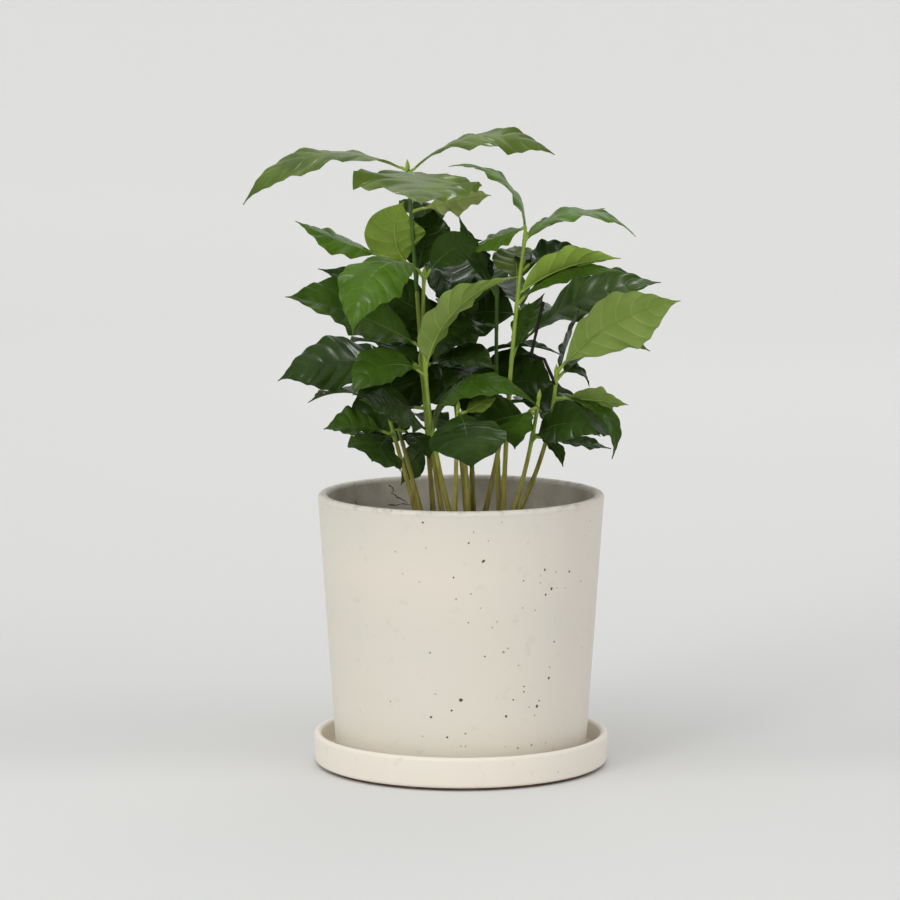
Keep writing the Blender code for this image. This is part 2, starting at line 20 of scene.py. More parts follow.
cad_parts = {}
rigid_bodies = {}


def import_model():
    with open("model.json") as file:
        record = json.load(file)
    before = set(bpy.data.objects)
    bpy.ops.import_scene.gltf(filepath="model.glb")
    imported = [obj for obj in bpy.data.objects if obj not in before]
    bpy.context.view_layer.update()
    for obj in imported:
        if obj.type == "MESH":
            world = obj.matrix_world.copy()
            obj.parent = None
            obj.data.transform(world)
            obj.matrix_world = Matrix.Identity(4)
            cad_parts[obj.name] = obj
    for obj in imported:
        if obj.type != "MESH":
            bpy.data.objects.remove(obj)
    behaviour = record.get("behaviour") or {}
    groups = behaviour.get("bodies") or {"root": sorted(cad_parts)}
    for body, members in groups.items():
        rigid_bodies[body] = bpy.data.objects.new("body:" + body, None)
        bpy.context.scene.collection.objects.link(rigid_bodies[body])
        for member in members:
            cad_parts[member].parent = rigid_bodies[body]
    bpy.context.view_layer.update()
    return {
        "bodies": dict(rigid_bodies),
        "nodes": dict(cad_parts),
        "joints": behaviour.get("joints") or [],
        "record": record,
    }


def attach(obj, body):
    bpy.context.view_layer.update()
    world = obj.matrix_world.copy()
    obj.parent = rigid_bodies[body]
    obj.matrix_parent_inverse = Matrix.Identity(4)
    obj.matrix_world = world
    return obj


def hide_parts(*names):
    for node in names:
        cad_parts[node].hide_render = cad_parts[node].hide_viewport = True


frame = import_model()

MM = 0.001

# Pot and saucer
RIM_RADIUS = 0.080
POT_FOOT_RADIUS = 0.070
POT_RIM_HEIGHT = 0.153
POT_WALL = 0.0056
POT_FLOOR = 0.006
LIP_ROUND = 0.0022
SAUCER_RADIUS = 0.0825
SAUCER_HEIGHT = 0.0185
SAUCER_WALL = 0.0042
SAUCER_FLOOR = 0.0055
FOOT_RING_RADIUS = 0.0790
FOOT_RING_HEIGHT = 0.0016
FOOT_EDGE = 0.0012
SAUCER_EDGE = 0.002
SAUCER_LEAN = 0.0006
SAUCER_COVE = 0.003
GAP = 0.0003
POT_BASE = SAUCER_FLOOR + GAP

# Soil and stems
SOIL_TOP = 0.131
STEM_RADIUS = 1.65 * MM
STEM_TOP_RADIUS = 1.15 * MM
ROOT_FLARE = 1.1 * MM
FLARE_HEIGHT = 7 * MM
BARE_BELOW_LEAF = 5 * MM
BUD_LENGTH = 6 * MM

# Coarse stems, which only tell a leaf where it would touch
COARSE_SIDES = 6
FLARE_STEPS = (0, 1 * MM, 4 * MM, 9 * MM)
STEM_STEPS = 6
UPPER_STEM_STEP = 22 * MM
BUD_SWELL = 1.1
BUD_POINT = 0.3
BUD_SWELL_PLACE = 0.45

# Leaves
BLADE_STEPS = 7
MIDRIB_STEPS = 60
PETIOLE_RADIUS = 0.95 * MM
PETIOLE_FLATNESS = 0.8
PETIOLE_END = 0.85
THICKNESS_SHARE = 0.0125
LEAST_THICKNESS = 0.8 * MM
SPARE_ROOM = 0.9 * MM
TIP_HALF_WIDTH = 0.5 * MM
TIP_DRAWN_OUT = (0.95, 0.9)
MARGIN_WAVES = 3.2
PAIR_TURN = 84
PAIR_SHRINK = 0.07

# A leaf sits at a height above the ground. It has a blade length and width, a bearing
# (0 is right, 90 is back), the climb of its midrib at the base and at the tip, and a roll
# about the midrib. Cup lifts both edges, twist turns the tip against the base, wave ruffles
# the edge, ease delays the fall of the midrib, bend turns the bearing towards the tip and
# peak moves the widest place outwards. Lengths are in millimetres and angles in degrees.
# Tone is its colour, one of TONES.
Leaf = namedtuple(
    "Leaf",
    "name height length width bearing rise fall roll cup twist wave ease petiole bend peak tone",
    defaults=(0, 10, 0, 0.06, 1.0, 8, 0, 0.88, "dark"),
)

# A pair rule grows opposite leaves up the stem, each pair across the one below.
Pairs = namedtuple("Pairs", "heights length width bearing rise fall roll", defaults=(0,))

# A seedling has its foot (x, y), its top (x, y, z) and its sideways bow (x, y), in mm.
Seedling = namedtuple("Seedling", "foot top bow leaves pairs", defaults=((), ()))

# The thin dead twig leaves the seedling named here near its top and has a knob at its bend.
DEAD_TWIG_OWNER = "right"
DEAD_TWIG = (
    (52.2, -12, 215), (46, -13, 229), (38.7, -14, 231.5), (40.6, -14, 240), (43, -14, 251),
    (45.5, -13, 261),
)
DEAD_TWIG_RADIUS = 0.75
DEAD_TWIG_KNOB = 1.3
DEAD_TWIG_KNOB_PLACE = 2

SEEDLINGS = {
    "tall_left": Seedling((-15, 13), (-29.5, 8, 332), (0, 0), (
        Leaf("arch_left", 332, 98, 34, -177, 27, -58, 8, cup=-6, twist=-47, wave=0.1, ease=1.2,
             petiole=5, peak=0.95, tone="fresh"),
        Leaf("arch_right", 330, 87, 29, 14, 48, -34, -15, cup=-9, twist=60, wave=0.1, petiole=4, bend=-9,
             peak=1.2, tone="fresh"),
        Leaf("front_top", 330.5, 72, 70, -84, 8, -28, -4, cup=1, wave=0.07, ease=1.1, peak=1.5,
             tone="fresh"),
        Leaf("under_right", 309, 38, 34, 7, 19, 4, -28, cup=-3, wave=0.1, peak=1.1, tone="lit"),
        Leaf("upright", 276, 36, 34, 180, 36, 126, 84, cup=6, tone="fresh"),
        Leaf("folded_left", 279, 48, 24, -170, 16, 26, -27, cup=-13, petiole=24, tone="bright"),
        Leaf("dark_right", 270, 45, 31, 74, 58, 38),
        Leaf("back_top", 314, 64, 26, 80, 10, -48, 8, cup=-10, tone="middle"),
        Leaf("back_low", 296, 62, 30, 98, 20, -40, cup=-8, tone="middle"),
    )),
    "front_left": Seedling((-2.5, -18), (-20.3, -25, 275), (-6.2, -2), (
        Leaf("glossy_front", 275, 72, 39, -134, 58, -94, -19, cup=-11, ease=0.8, bend=-3, peak=1.0,
             tone="bright"),
        Leaf("broad_left", 236, 84, 42, 188, 33, 8, -44, cup=11, bend=38, tone="middle"),
        Leaf("pale_left", 221, 43, 27, -158, 42, -66, -40, peak=1.0, tone="middle"),
        Leaf("dark_right", 274, 36, 20, 30, 58, 0, 55, cup=8),
        Leaf("pale_right", 223, 71, 32, -3, 84, 10, -29, cup=15, ease=0.95, peak=0.62, tone="bright"),
        Leaf("draped", 181, 86, 28, -51, 128, -50, 23, cup=-13, twist=7, ease=0.7, bend=51, peak=0.72,
             tone="middle"),
        Leaf("low_front", 187, 43, 42, -148, 41, 3, -24, cup=-1, bend=-14, peak=1.0),
    )),
    "tall_right": Seedling((23.5, -12), (35, -12, 295), (-2.5, -1), (
        Leaf("arch_left", 295, 61, 22, -185, 99, -14, -5, cup=-4, wave=0.12, ease=1.04, tone="bright"),
        Leaf("arch_right", 294, 68, 24, 4, 55, -50, 11, cup=-3, wave=0.12, petiole=3, bend=-4, peak=0.8,
             tone="bright"),
        Leaf("back_left", 302, 33, 26, 170, -10, -29, -18, cup=-8, petiole=3, bend=9, tone="bright"),
        Leaf("back_right", 298, 56, 16, 45, 17, 7, petiole=3, bend=-13, tone="middle"),
        Leaf("pale_back", 267, 35, 27, 95, 50, 14, -6, cup=14, bend=-5, tone="fresh"),
        Leaf("pale_right", 265, 59, 32, 8, 39, -2, -32, cup=15, petiole=3, peak=0.8, tone="pale"),
        Leaf("under_pale", 259, 59, 22, -7, 52, -19, 15, cup=-8, bend=6, tone="middle"),
        Leaf("behind_top", 277, 36, 24, 24, 42, -12, 17, cup=11),
        Leaf("rising", 229, 36, 22, 43, 60, 46, -12, cup=7, twist=10, bend=-10, tone="middle"),
        Leaf("back_mid", 280, 58, 26, 74, 26, -34, cup=-6),
    )),
    "right": Seedling((26, -3), (52.6, -12, 220), (5.8, 0), (
        Leaf("pale_wide", 221, 75, 39, -15, 53, 9, -56, cup=-8, wave=0.08, bend=5, peak=1.15,
             tone="bright"),
        Leaf("back", 217, 70, 32, 42, 40, -22, -16, tone="middle"),
        Leaf("small", 217, 22, 14, 34, 56, -80, 32),
        Leaf("behind_up", 217, 39, 19, 56, 66, 49, -45, cup=6),
        Leaf("olive", 207, 34, 22, -13, 3, -10, -39, cup=5, peak=0.95, tone="bright"),
        Leaf("hanging", 206, 50, 18, -12, 22, -111, 20, tone="middle"),
        Leaf("low_back", 200, 58, 26, 58, 20, -35),
        Leaf("dark_side", 196, 36, 26, 24, 8, -44, 40),
        Leaf("dark_front", 203, 30, 28, -104, -8, -54),
    )),
    "front_small": Seedling((-4, -30), (-1.7, -38, 203), (0, 0), (
        Leaf("glossy_low", 201, 44, 42, -82, 17, -70, 8, cup=2, ease=0.8, bend=6, peak=1.4),
        Leaf("young", 201, 22, 17, 2, 20, 41, 28, cup=6, petiole=5, tone="fresh"),
    )),
    "low_left": Seedling((-21.5, -10), (-42, -18, 205), (0, 0), (
        Leaf("low_tip", 187, 32, 28, -174, 24, -13, -25, cup=15, bend=-4, peak=1.0, tone="middle"),
        Leaf("low_broad", 188, 34, 34, -110, -5, -25, -32, cup=-14, wave=0.12, bend=8, peak=1.15),
    )),
    "far_left": Seedling((-19.5, 2), (-38, 6, 200), (0, 0), (
        Leaf("dark_up", 199, 44, 40, 98, 60, 24),
        Leaf("low_side", 188, 40, 34, 112, -4, -50, -6, wave=0.12),
        Leaf("dark_front", 188, 28, 26, -62, -16, -64),
        Leaf("low_back", 192, 60, 28, 66, 14, -40),
        Leaf("back", 199, 54, 28, 146, 30, -30),
    )),
    "mid_left": Seedling((-8.5, 2), (-22.5, 2, 225), (-1, 0), (
        Leaf("curled_left", 223, 75, 39, -171, 9, -38, -37, cup=-5, twist=-10, wave=0.08, ease=2.2,
             bend=-19, peak=1.15),
        Leaf("dark_right", 222, 40, 32, -24, 28, -34, 20),
        Leaf("dark_up", 224, 30, 26, 52, 44, 8, 10),
        Leaf("dark_left", 200, 40, 34, -172, 4, -40, -50),
        Leaf("hanging", 180, 36, 18, 109, -31, -71, 80),
        Leaf("back", 221, 66, 30, 128, 30, -25),
    )),
    "front_right": Seedling((24.5, -20), (42.5, -30, 208), (2, 0), (
        Leaf("glossy", 185, 53, 25, -45, 40, -24, 66, cup=18, bend=5),
        Leaf("low", 188, 36, 27, -1, -7, -11, 8, cup=6),
        Leaf("tip_down", 189, 26, 12, 47, -9, -69),
        Leaf("drooping", 204, 25, 27, -129, 2, -96, 14, cup=6, peak=1.1, tone="middle"),
        Leaf("dark_left", 201, 32, 30, 176, -4, -30, -56),
    )),
    "back_right": Seedling((12.5, 30), (37, 36, 250), (0, 0), (
        Leaf("broad_right", 233, 82, 41, -25, 47, 1, 30, cup=6, wave=0.08, bend=24, peak=1.12,
             tone="middle"),
        Leaf("dark_left", 248, 50, 40, 176, 8, -36, -54),
        Leaf("low_right", 200, 44, 32, 10, 8, -44, 40),
        Leaf("low_left", 210, 50, 32, 172, 10, -40, -50),
        Leaf("back_low", 214, 60, 30, 102, 20, -36),
        Leaf("back_side", 200, 52, 30, 52, 6, -46),
        Leaf("back_top", 249, 56, 28, 116, 42, -12),
    ), (Pairs((236,), 74, 32, 65, 34, -26, 0),)),
    "centre": Seedling((5, -19), (1, -20, 196), (0, 0), (
        Leaf("right", 194, 26, 20, 60, 66, 30),
        Leaf("left", 194, 24, 20, 200, 60, 10, -30),
    )),
    "mid_right": Seedling((22, 12), (20, 14, 262), (-1, 0), (
        Leaf("narrow_front", 261, 44, 19, -158, 60, 67, 12, cup=-3),
        Leaf("narrow_back", 264, 20, 16, 166, 63, 80, 38, cup=7),
        Leaf("dark_low", 210, 25, 34, -4, 26, -18, 38, cup=13, bend=7, peak=1.0),
        Leaf("dark_left", 245, 42, 36, -132, 14, -58, -14),
        Leaf("dark_centre", 222, 42, 32, -130, 20, -52),
        Leaf("dark_under", 206, 40, 30, -110, 14, -44),
    )),
    "back_centre": Seedling((7, 26), (4, 30, 250), (0, 0), (
        Leaf("screen_left", 240, 54, 36, 178, 10, -34, -56),
        Leaf("screen_low", 214, 50, 36, 172, 6, -36, -56),
        Leaf("dark_side", 220, 40, 32, 0, 6, -40, 54),
        Leaf("back_top", 249, 54, 28, 66, 50, -8),
    ), (Pairs((242, 224, 204), 72, 32, 88, 34, -24, 0),)),
    "back_left": Seedling((4, 16), (-8, 22, 250), (0, 0), (
        Leaf("behind_left", 243, 73, 32, 173, 34, 14, -46),
        Leaf("behind_up", 247, 32, 26, 178, 76, 56, -10),
        Leaf("back_top", 249, 60, 30, 84, 46, -16),
        Leaf("back_side", 228, 58, 30, 142, 28, -36),
    ), (Pairs((198,), 74, 32, 92, 24, -28, 0),)),
}

# Turns, in degrees of bearing and climb, that a leaf tries in order to stay clear
NUDGES = (
    (0, 0), (4, 0), (-4, 0), (0, 5), (0, -5), (8, 0), (-8, 0), (5, 7), (-5, 7), (5, -7),
    (-5, -7), (13, 0), (-13, 0), (0, 12), (0, -12), (12, 12), (-12, 12), (20, 6), (-20, 6),
)
SMALLER_SIZES = (1.0, 0.86, 0.72)

# Fine leaves. Rows of the blade's grid follow its side veins, given in shares of the space
# between two veins, and columns run from the rib to the margin.
BLADE_THICKNESS = 0.36 * MM
FRAME_STEPS = 120
LEAST_VEINS = 4
LENGTH_PER_VEIN = 20
VEIN_SWEEP = 0.17
VEIN_BEND = 1.5
VEIN_ROWS = (0.0, 0.045, 0.2, 0.4, 0.6, 0.8, 0.955)
HALF_COLUMNS = (0.07, 0.2, 0.36, 0.52, 0.68, 0.84, 1.0)
QUILT_RISE = 0.072
QUILT_ROUND = 0.7
UNEVEN = (0.35, 1.3)
RIPPLE = 0.046
RIPPLE_SPREAD = (0.6, 1.3)
CUP_ROUND = 1.35

# Fine wood
PETIOLE_STEPS = 6
PETIOLE_TAPER = (1.15, 0.9)
RIB_BASE_RADIUS = 0.75 * MM
RIB_TIP_RADIUS = 0.2 * MM
RIB_LEAST_STEP = 0.3 * MM
RIB_SINK = 0.5
SHADED_STEMS = ("tall_left", "centre", "mid_right", "back_right", "back_centre", "back_left")
SHADED_PETIOLES = SHADED_STEMS[1:]
LIMB_SIDES = 10
BARK_SIDES = 16
STEM_SLIMNESS = 0.86
NODE_LENGTH = 2.0 * MM
NODE_SWELL = 0.16
SCAR_LENGTH = 0.9 * MM
SCAR_SWELL = 0.13
WRINKLE_DEPTH = 0.028
STEM_RING_GAP = 2.2 * MM
STEM_TIP_LENGTH = 1.2 * MM
BARK_RING_GAP = 1.1 * MM
BARK_DEPTH = 1.5 * MM
BUD_WIDTH = 1.7 * MM
TWIG_SIDES = 8
TWIG_STEPS = 5
TWIG_FULLNESS = 1.2
KNOB_LENGTH = 1.2

# Light and dark colours, as linear ones, of the upper face, the lower face and the rib of
# a leaf of each tone, and the gloss of its upper face
Tone = namedtuple("Tone", "upper lower rib gloss")
TONES = {
    # Painted light: much brighter colours for a leaf whose lower face turns down into shade, so that it
    # looks lit
    "lit": Tone(
        ((0.24, 0.32, 0.07), (0.19, 0.265, 0.05)), ((0.6, 0.7, 0.24), (0.5, 0.6, 0.19)),
        ((0.4, 0.5, 0.12), (0.33, 0.43, 0.09)), 0.14,
    ),
    # A pale underside that is also brightened as painted light, for a leaf whose lower face turns down
    # into shade
    "pale": Tone(
        ((0.15, 0.23, 0.035), (0.11, 0.18, 0.025)), ((0.32, 0.46, 0.078), (0.26, 0.39, 0.06)),
        ((0.33, 0.44, 0.09), (0.26, 0.36, 0.06)), 0.14,
    ),
    "fresh": Tone(
        ((0.122, 0.186, 0.026), (0.068, 0.116, 0.014)), ((0.205, 0.3, 0.042), (0.155, 0.24, 0.03)),
        ((0.27, 0.37, 0.055), (0.2, 0.3, 0.036)), 0.14,
    ),
    "bright": Tone(
        ((0.088, 0.18, 0.014), (0.06, 0.13, 0.009)), ((0.235, 0.325, 0.08), (0.19, 0.28, 0.056)),
        ((0.22, 0.32, 0.05), (0.16, 0.25, 0.034)), 0.13,
    ),
    "middle": Tone(
        ((0.055, 0.114, 0.012), (0.034, 0.074, 0.007)), ((0.1, 0.16, 0.032), (0.07, 0.125, 0.022)),
        ((0.12, 0.2, 0.03), (0.08, 0.15, 0.02)), 0.08,
    ),
    "dark": Tone(
        ((0.031, 0.065, 0.0085), (0.018, 0.04, 0.005)),
        ((0.05, 0.095, 0.018), (0.034, 0.072, 0.012)),
        ((0.06, 0.12, 0.018), (0.035, 0.08, 0.012)), 0.10,
    ),
}
VEIN_LIFT = 1.18
LOWER_GLOSS = 0.12

# How a finish wanders: the scale of its patches, its roughness from and to, and the scale,
# strength and depth of its fine relief
UPPER_GRAIN = (55, (0.22, 0.32), 1400, 0.08, 0.0002)
VEIN_GRAIN = (55, (0.26, 0.36), 1400, 0.1, 0.0002)
LOWER_GRAIN = (60, (0.55, 0.65), 1100, 0.15, 0.0002)
UNDER_VEIN_GRAIN = (60, (0.55, 0.65), 900, 0.1, 0.0002)
WOOD_GRAIN = (90, (0.42, 0.55), 900, 0.25, 0.0003)
SPECK_GRAIN = (700, (0.45, 0.6), 1500, 0.2, 0.0002)
WOOD_GLOSS = 0.25

# Finishes with their light and dark colours, their grain and their gloss
FINISHES = {
    "green_wood": ((0.29, 0.395, 0.06), (0.205, 0.31, 0.038), *WOOD_GRAIN, WOOD_GLOSS),
    "shaded_wood": ((0.075, 0.15, 0.022), (0.045, 0.1, 0.014), *WOOD_GRAIN, WOOD_GLOSS),
    "dead_wood": (
        (0.02, 0.016, 0.012), (0.008, 0.006, 0.005), 160, (0.6, 0.8), 1200, 0.5, 0.0003, 0.15
    ),
    "bare_clay": (
        (0.165, 0.095, 0.075), (0.095, 0.055, 0.045), 220, (0.75, 0.9), 900, 0.5, 0.0004, 0.5
    ),
    "inner_wash": (
        (0.64, 0.59, 0.485), (0.49, 0.45, 0.37), 60, (0.65, 0.8), 500, 0.45, 0.0006, 0.5
    ),
    "iron_speck": ((0.11, 0.085, 0.062), (0.06, 0.046, 0.034), *SPECK_GRAIN, 0.5),
    "faint_speck": ((0.43, 0.39, 0.32), (0.32, 0.285, 0.235), *SPECK_GRAIN, 0.5),
    "potting_soil": (
        (0.04, 0.027, 0.018), (0.012, 0.008, 0.006), 330, (0.85, 1.0), 900, 0.8, 0.001, 0.5
    ),
}

# Bark from the soil up to where it is green, and the shade of its streaks
BARK_GREEN_HEIGHT = 0.085
BARK_STOPS = (
    (0.0, (0.215, 0.16, 0.055)), (0.22, (0.345, 0.305, 0.072)),
    (0.6, (0.375, 0.38, 0.075)), (1.0, (0.29, 0.375, 0.06)),
)
STREAK_STOPS = ((0.35, (0.62, 0.55, 0.42)), (0.6, (1.06, 1.04, 0.98)))
STREAK_SCALE = (420.0, 420.0, 60.0)

# Glazes: a warm, a cool and a shaded cream, the last mixed in on the right side as painted
# shade, and the tint of level bands up to their top
BANDS_TOP = 0.16
GLAZES = {
    "glaze_cream": (
        (0.775, 0.73, 0.645), (0.75, 0.725, 0.65), (0.72, 0.665, 0.605),
        (
            (0.0, (1.02, 1.0, 0.96)), (0.25, (1.01, 1.0, 0.985)), (0.55, (0.985, 0.98, 0.96)),
            (0.72, (1.025, 1.0, 0.985)), (0.82, (0.98, 0.98, 0.96)), (0.95, (0.94, 0.94, 0.93)),
        ),
    ),
    "glaze_saucer": (
        (0.85, 0.8, 0.715), (0.835, 0.795, 0.71), (0.81, 0.755, 0.68),
        ((0.0, (1.04, 1.02, 1.0)), (1.0, (1.0, 1.0, 1.0))),
    ),
}
SMUDGE_COLOUR = (0.42, 0.37, 0.3)
PORE_COLOUR = (0.1, 0.075, 0.05)
WORN_COLOUR = (0.3, 0.26, 0.2)
WORN_HEIGHT = 0.0035

# Pot, saucer and soil
TURNED_STEPS = 192
TURNED_SHARP = 50
POT_WOBBLE = 0.0006
SAUCER_WOBBLE = 0.0003
LIP_ARC_STEPS = 8
THROWING_RINGS = 26
RING_DEPTH = 0.015 * MM
SOIL_RINGS = 60
SOIL_SPOKES = 180
SOIL_DEPTH = 0.012
SOIL_WAVES = 14
SOIL_ROUGHNESS = 2.08 * MM
CRUMBS = 420

# Dark iron specks in the pot's glaze, as (angle round from the front, height, width),
# and fainter ones that lie deeper in it
POT_SPECKS = (
    (9, 126, 2.1), (0, 49, 2.1), (-13, 39, 1.7), (-4, 43, 1.3), (-6, 28, 1.3),
    (40, 108, 1.5), (37, 105, 1.2), (36, 119, 1.2), (50, 116, 1.2), (41, 58, 1.5),
    (35, 43, 1.6), (20, 39, 1.6), (-3, 117, 1.1), (3, 136, 1.1), (-15, 147, 1.2),
    (-50, 38, 1.2), (-32, 46, 1.0), (-64, 56, 0.9), (10, 73, 1.1), (-13, 75, 0.9),
    (43, 78, 1.0), (23, 48, 1.0), (28, 55, 1.0), (28, 52, 0.9), (26, 114, 0.8),
    (36, 46, 0.9), (3, 92, 0.9),
)
FAINT_SPECKS = (
    (-43, 87, 1.3), (32, 97, 0.9), (42, 117, 0.9), (34, 116, 0.8), (34, 112, 0.8),
    (43, 108, 0.8), (48, 107, 0.8), (59, 109, 1.0), (26, 99, 0.9), (18, 75, 1.6),
    (20, 77, 1.2), (25, 67, 0.9), (41, 64, 0.9), (34, 38, 1.0), (31, 43, 0.8),
    (-72, 37, 1.2), (2, 30, 1.3), (-17, 28, 0.9), (0, 23, 1.1), (2, 23, 1.1),
    (26, 20.5, 1.2), (33, 21.5, 1.3), (41, 21.5, 0.8), (20, 22, 0.8), (64, 71, 1.0),
    (64, 142, 1.0), (16, 147, 0.8), (5, 142, 1.0), (-2, 105, 1.3), (4, 108, 1.2),
    (8, 100, 1.1), (13, 89, 1.2), (-39, 82, 0.9), (-27, 130, 1.0), (-14, 133, 0.8),
    (-17, 114, 0.9), (-24, 118, 0.8), (-11, 52, 0.9), (-44, 62, 0.9), (15, 92, 1.0),
)
SAUCER_SPECKS = ((-49, 12.5, 1.4),)
STRAY_SPECKS = 60
SPECK_SIDES = 9
SPECK_HEIGHT = 0.09 * MM

# Hair cracks in the wash inside the pot, each as (angle from the back, height) points
CRACKS = (
    ((-34, 149), (-31.5, 146.5), (-32.5, 144), (-29, 141), (-26.5, 139.5), (-24, 137)),
    ((-35, 137.5), (-31, 137), (-27, 137.6), (-22, 136.5)),
    ((-55, 142.5), (-54, 139.5)),
)
CRACK_STEPS = 4

# A round floor that bends up into a wall, and its greys at places along Y, which paint light
# and shade: a darker band just behind the pot is painted shade, and the paper grows lighter
# towards the far wall as painted light
FLOOR_RADIUS = 2.9
FLOOR_BEND = 1.6
FLOOR_STEPS = 96
WALL_HEIGHT = 1.7
PAPER_GREYS = (
    (-0.4, 0.755), (-0.06, 0.76), (0.03, 0.70), (0.09, 0.70), (0.25, 0.745),
    (0.6, 0.785), (1.7, 0.85), (3.4, 0.965),
)

# How bright the sky is at the horizon and overhead, and lamps with their place, the height
# that each is aimed at, size and power; those named glint only show in the gloss
SKY_STRENGTH = (0.50, 0.83)
LAMPS = {
    "overhead": ((-0.5, -0.6, 2.4), 0.15, 1.8, 7),
    "front_left": ((-1.6, -2.2, 1.0), 0.2, 0.9, 18),
    "fill_right": ((1.9, -1.8, 0.6), 0.1, 1.4, 8),
    "back": ((0.6, 1.9, 1.9), 0.25, 1.6, 5),
    "glint_front": ((-1.3, -1.6, 2.0), 0.25, 0.4, 22),
    "glint_top": ((-0.2, 0.5, 2.5), 0.25, 0.4, 22),
}

# The camera as it stood for the photograph
CAMERA_PLACE = (0.0, -2.2, 0.4501)
CAMERA_PITCH = 7.08
CAMERA_YAW = 0.16
FOCAL_LENGTH = 158.96


def spaced(start, end, steps):
    """Numbers in even steps from start to end."""
    return [start + (end - start) * i / steps for i in range(steps + 1)]


def arc(centre, radius, start, end, steps):
    """Points (r, z) round part of a circle; angles in degrees, 0 outward and 90 up."""
    r, z = centre
    turns = [math.radians(angle) for angle in spaced(start, end, steps)]
    return [(r + radius * math.cos(turn), z + radius * math.sin(turn)) for turn in turns]


def joined(rings):
    """Points and faces of a skin through rings of points; a ring of one point closes it."""
    count = max(len(ring) for ring in rings)
    points = []
    rows = []
    for ring in rings:
        rows.append([len(points) + k % len(ring) for k in range(count)])
        points += ring
    faces = []
    for near, far in zip(rows, rows[1:]):
        for k in range(count):
            after = (k + 1) % count
            faces.append(tuple(dict.fromkeys((near[k], far[k], far[after], near[after]))))
    return points, faces


def limb(points, radii, sides=LIMB_SIDES, relief=None):
    """Points and faces of a round limb with closed ends, its rings turned as little as can be.

    relief(angle, index) gives a share by which the radius changes.
    """
    points = [Vector(point) for point in points]
    last = len(points) - 1
    made = []
    for i, (point, radius) in enumerate(zip(points, radii)):
        along = (points[min(i + 1, last)] - points[max(i - 1, 0)]).normalized()
        if i == 0:
            side = along.orthogonal().normalized()
        side = (side - along * side.dot(along)).normalized()
        other = along.cross(side)
        for k in range(sides):
            angle = 2 * math.pi * k / sides
            reach = radius * (1 + (relief(angle, i) if relief else 0.0))
            made.append(point + side * math.cos(angle) * reach + other * math.sin(angle) * reach)
    faces = []
    for near in range(0, last * sides, sides):
        far = near + sides
        for k in range(sides):
            after = (k + 1) % sides
            faces.append((near + k, near + after, far + after, far + k))
    faces.append(tuple(reversed(range(sides))))
    faces.append(tuple(range(last * sides, len(made))))
    return made, faces


def pot_radius(z):
    """Outer radius of the pot at a height."""
    share = (z - POT_BASE) / (POT_RIM_HEIGHT - POT_BASE)
    return POT_FOOT_RADIUS + (RIM_RADIUS - POT_FOOT_RADIUS) * share


def stem_point(seedling, height):
    """Where the seedling's stem is at a height; under the soil it goes straight down."""
    top = Vector(seedling.top) * MM
    foot = Vector((seedling.foot[0] * MM, seedling.foot[1] * MM, SOIL_TOP))
    above = max(height, SOIL_TOP)
    share = (above - SOIL_TOP) / (top.z - SOIL_TOP)
    bow = Vector((*seedling.bow, 0)) * MM * 4 * share * (1 - share)
    return foot.lerp(top, share) + bow - Vector((0, 0, above - height))


def stem_line(seedling, heights):
    """Points along a stem and its radii there, with the taper and the flare at the root."""
    radii = []
    for height in heights:
        above = max(height - SOIL_TOP, 0)
        share = min(above / (seedling.top[2] * MM - SOIL_TOP), 1.0)
        taper = (STEM_TOP_RADIUS - STEM_RADIUS) * share
        radii.append(STEM_RADIUS + taper + ROOT_FLARE * math.exp(-above / FLARE_HEIGHT))
    return [stem_point(seedling, height) for height in heights], radii


def swollen(height, places, length):
    """How far a stem swells at a height, by round swellings at the places."""
    return sum(math.exp(-((height - place) / length) ** 2) for place in places)


def grown_leaves(seedling):
    """The leaves listed and then the opposite pairs grown by rule, up the stem."""
    leaves = list(seedling.leaves)
    for rule in seedling.pairs:
        climb = (rule.rise, rule.fall, rule.roll)
        for level, height in enumerate(rule.heights):
            size = 1 - PAIR_SHRINK * level
            for side in range(2):
                bearing = rule.bearing + PAIR_TURN * level + 180 * side
                name = f"pair{level}_{'ab'[side]}"
                blade = (rule.length * size, rule.width * size)
                leaves.append(Leaf(name, height, *blade, bearing, *climb))
    return leaves


def tree_of(points, faces):
    """A search tree of a coarse shape, which finds what it touches."""
    work = bmesh.new()
    corners = [work.verts.new(point) for point in points]
    for face in faces:
        work.faces.new([corners[i] for i in face])
    bmesh.ops.triangulate(work, faces=work.faces)
    tree = BVHTree.FromBMesh(work)
    work.free()
    return tree


def bare_top(seedling):
    """Where the bare stem ends, just under its first leaf."""
    return min(leaf.height for leaf in grown_leaves(seedling)) * MM - BARE_BELOW_LEAF


def stem_trees(seedling):
    """What the bare stem and the leafy one with its bud fill, as coarse search trees."""
    start = SOIL_TOP + GAP
    middle = bare_top(seedling)
    top = seedling.top[2] * MM
    flare = [start + step for step in FLARE_STEPS]
    bare = stem_line(seedling, flare + spaced(flare[-1], middle, STEM_STEPS)[1:])
    steps = max(2, round((top - middle) / UPPER_STEM_STEP))
    points, radii = stem_line(seedling, spaced(middle, top, steps))
    bud = (points[-1] - points[-2]).normalized() * BUD_LENGTH
    points += [points[-1] + bud * BUD_SWELL_PLACE, points[-1] + bud]
    radii += [STEM_TOP_RADIUS * BUD_SWELL, STEM_TOP_RADIUS * BUD_POINT]
    return [tree_of(*limb(*line, COARSE_SIDES)) for line in (bare, (points, radii))]


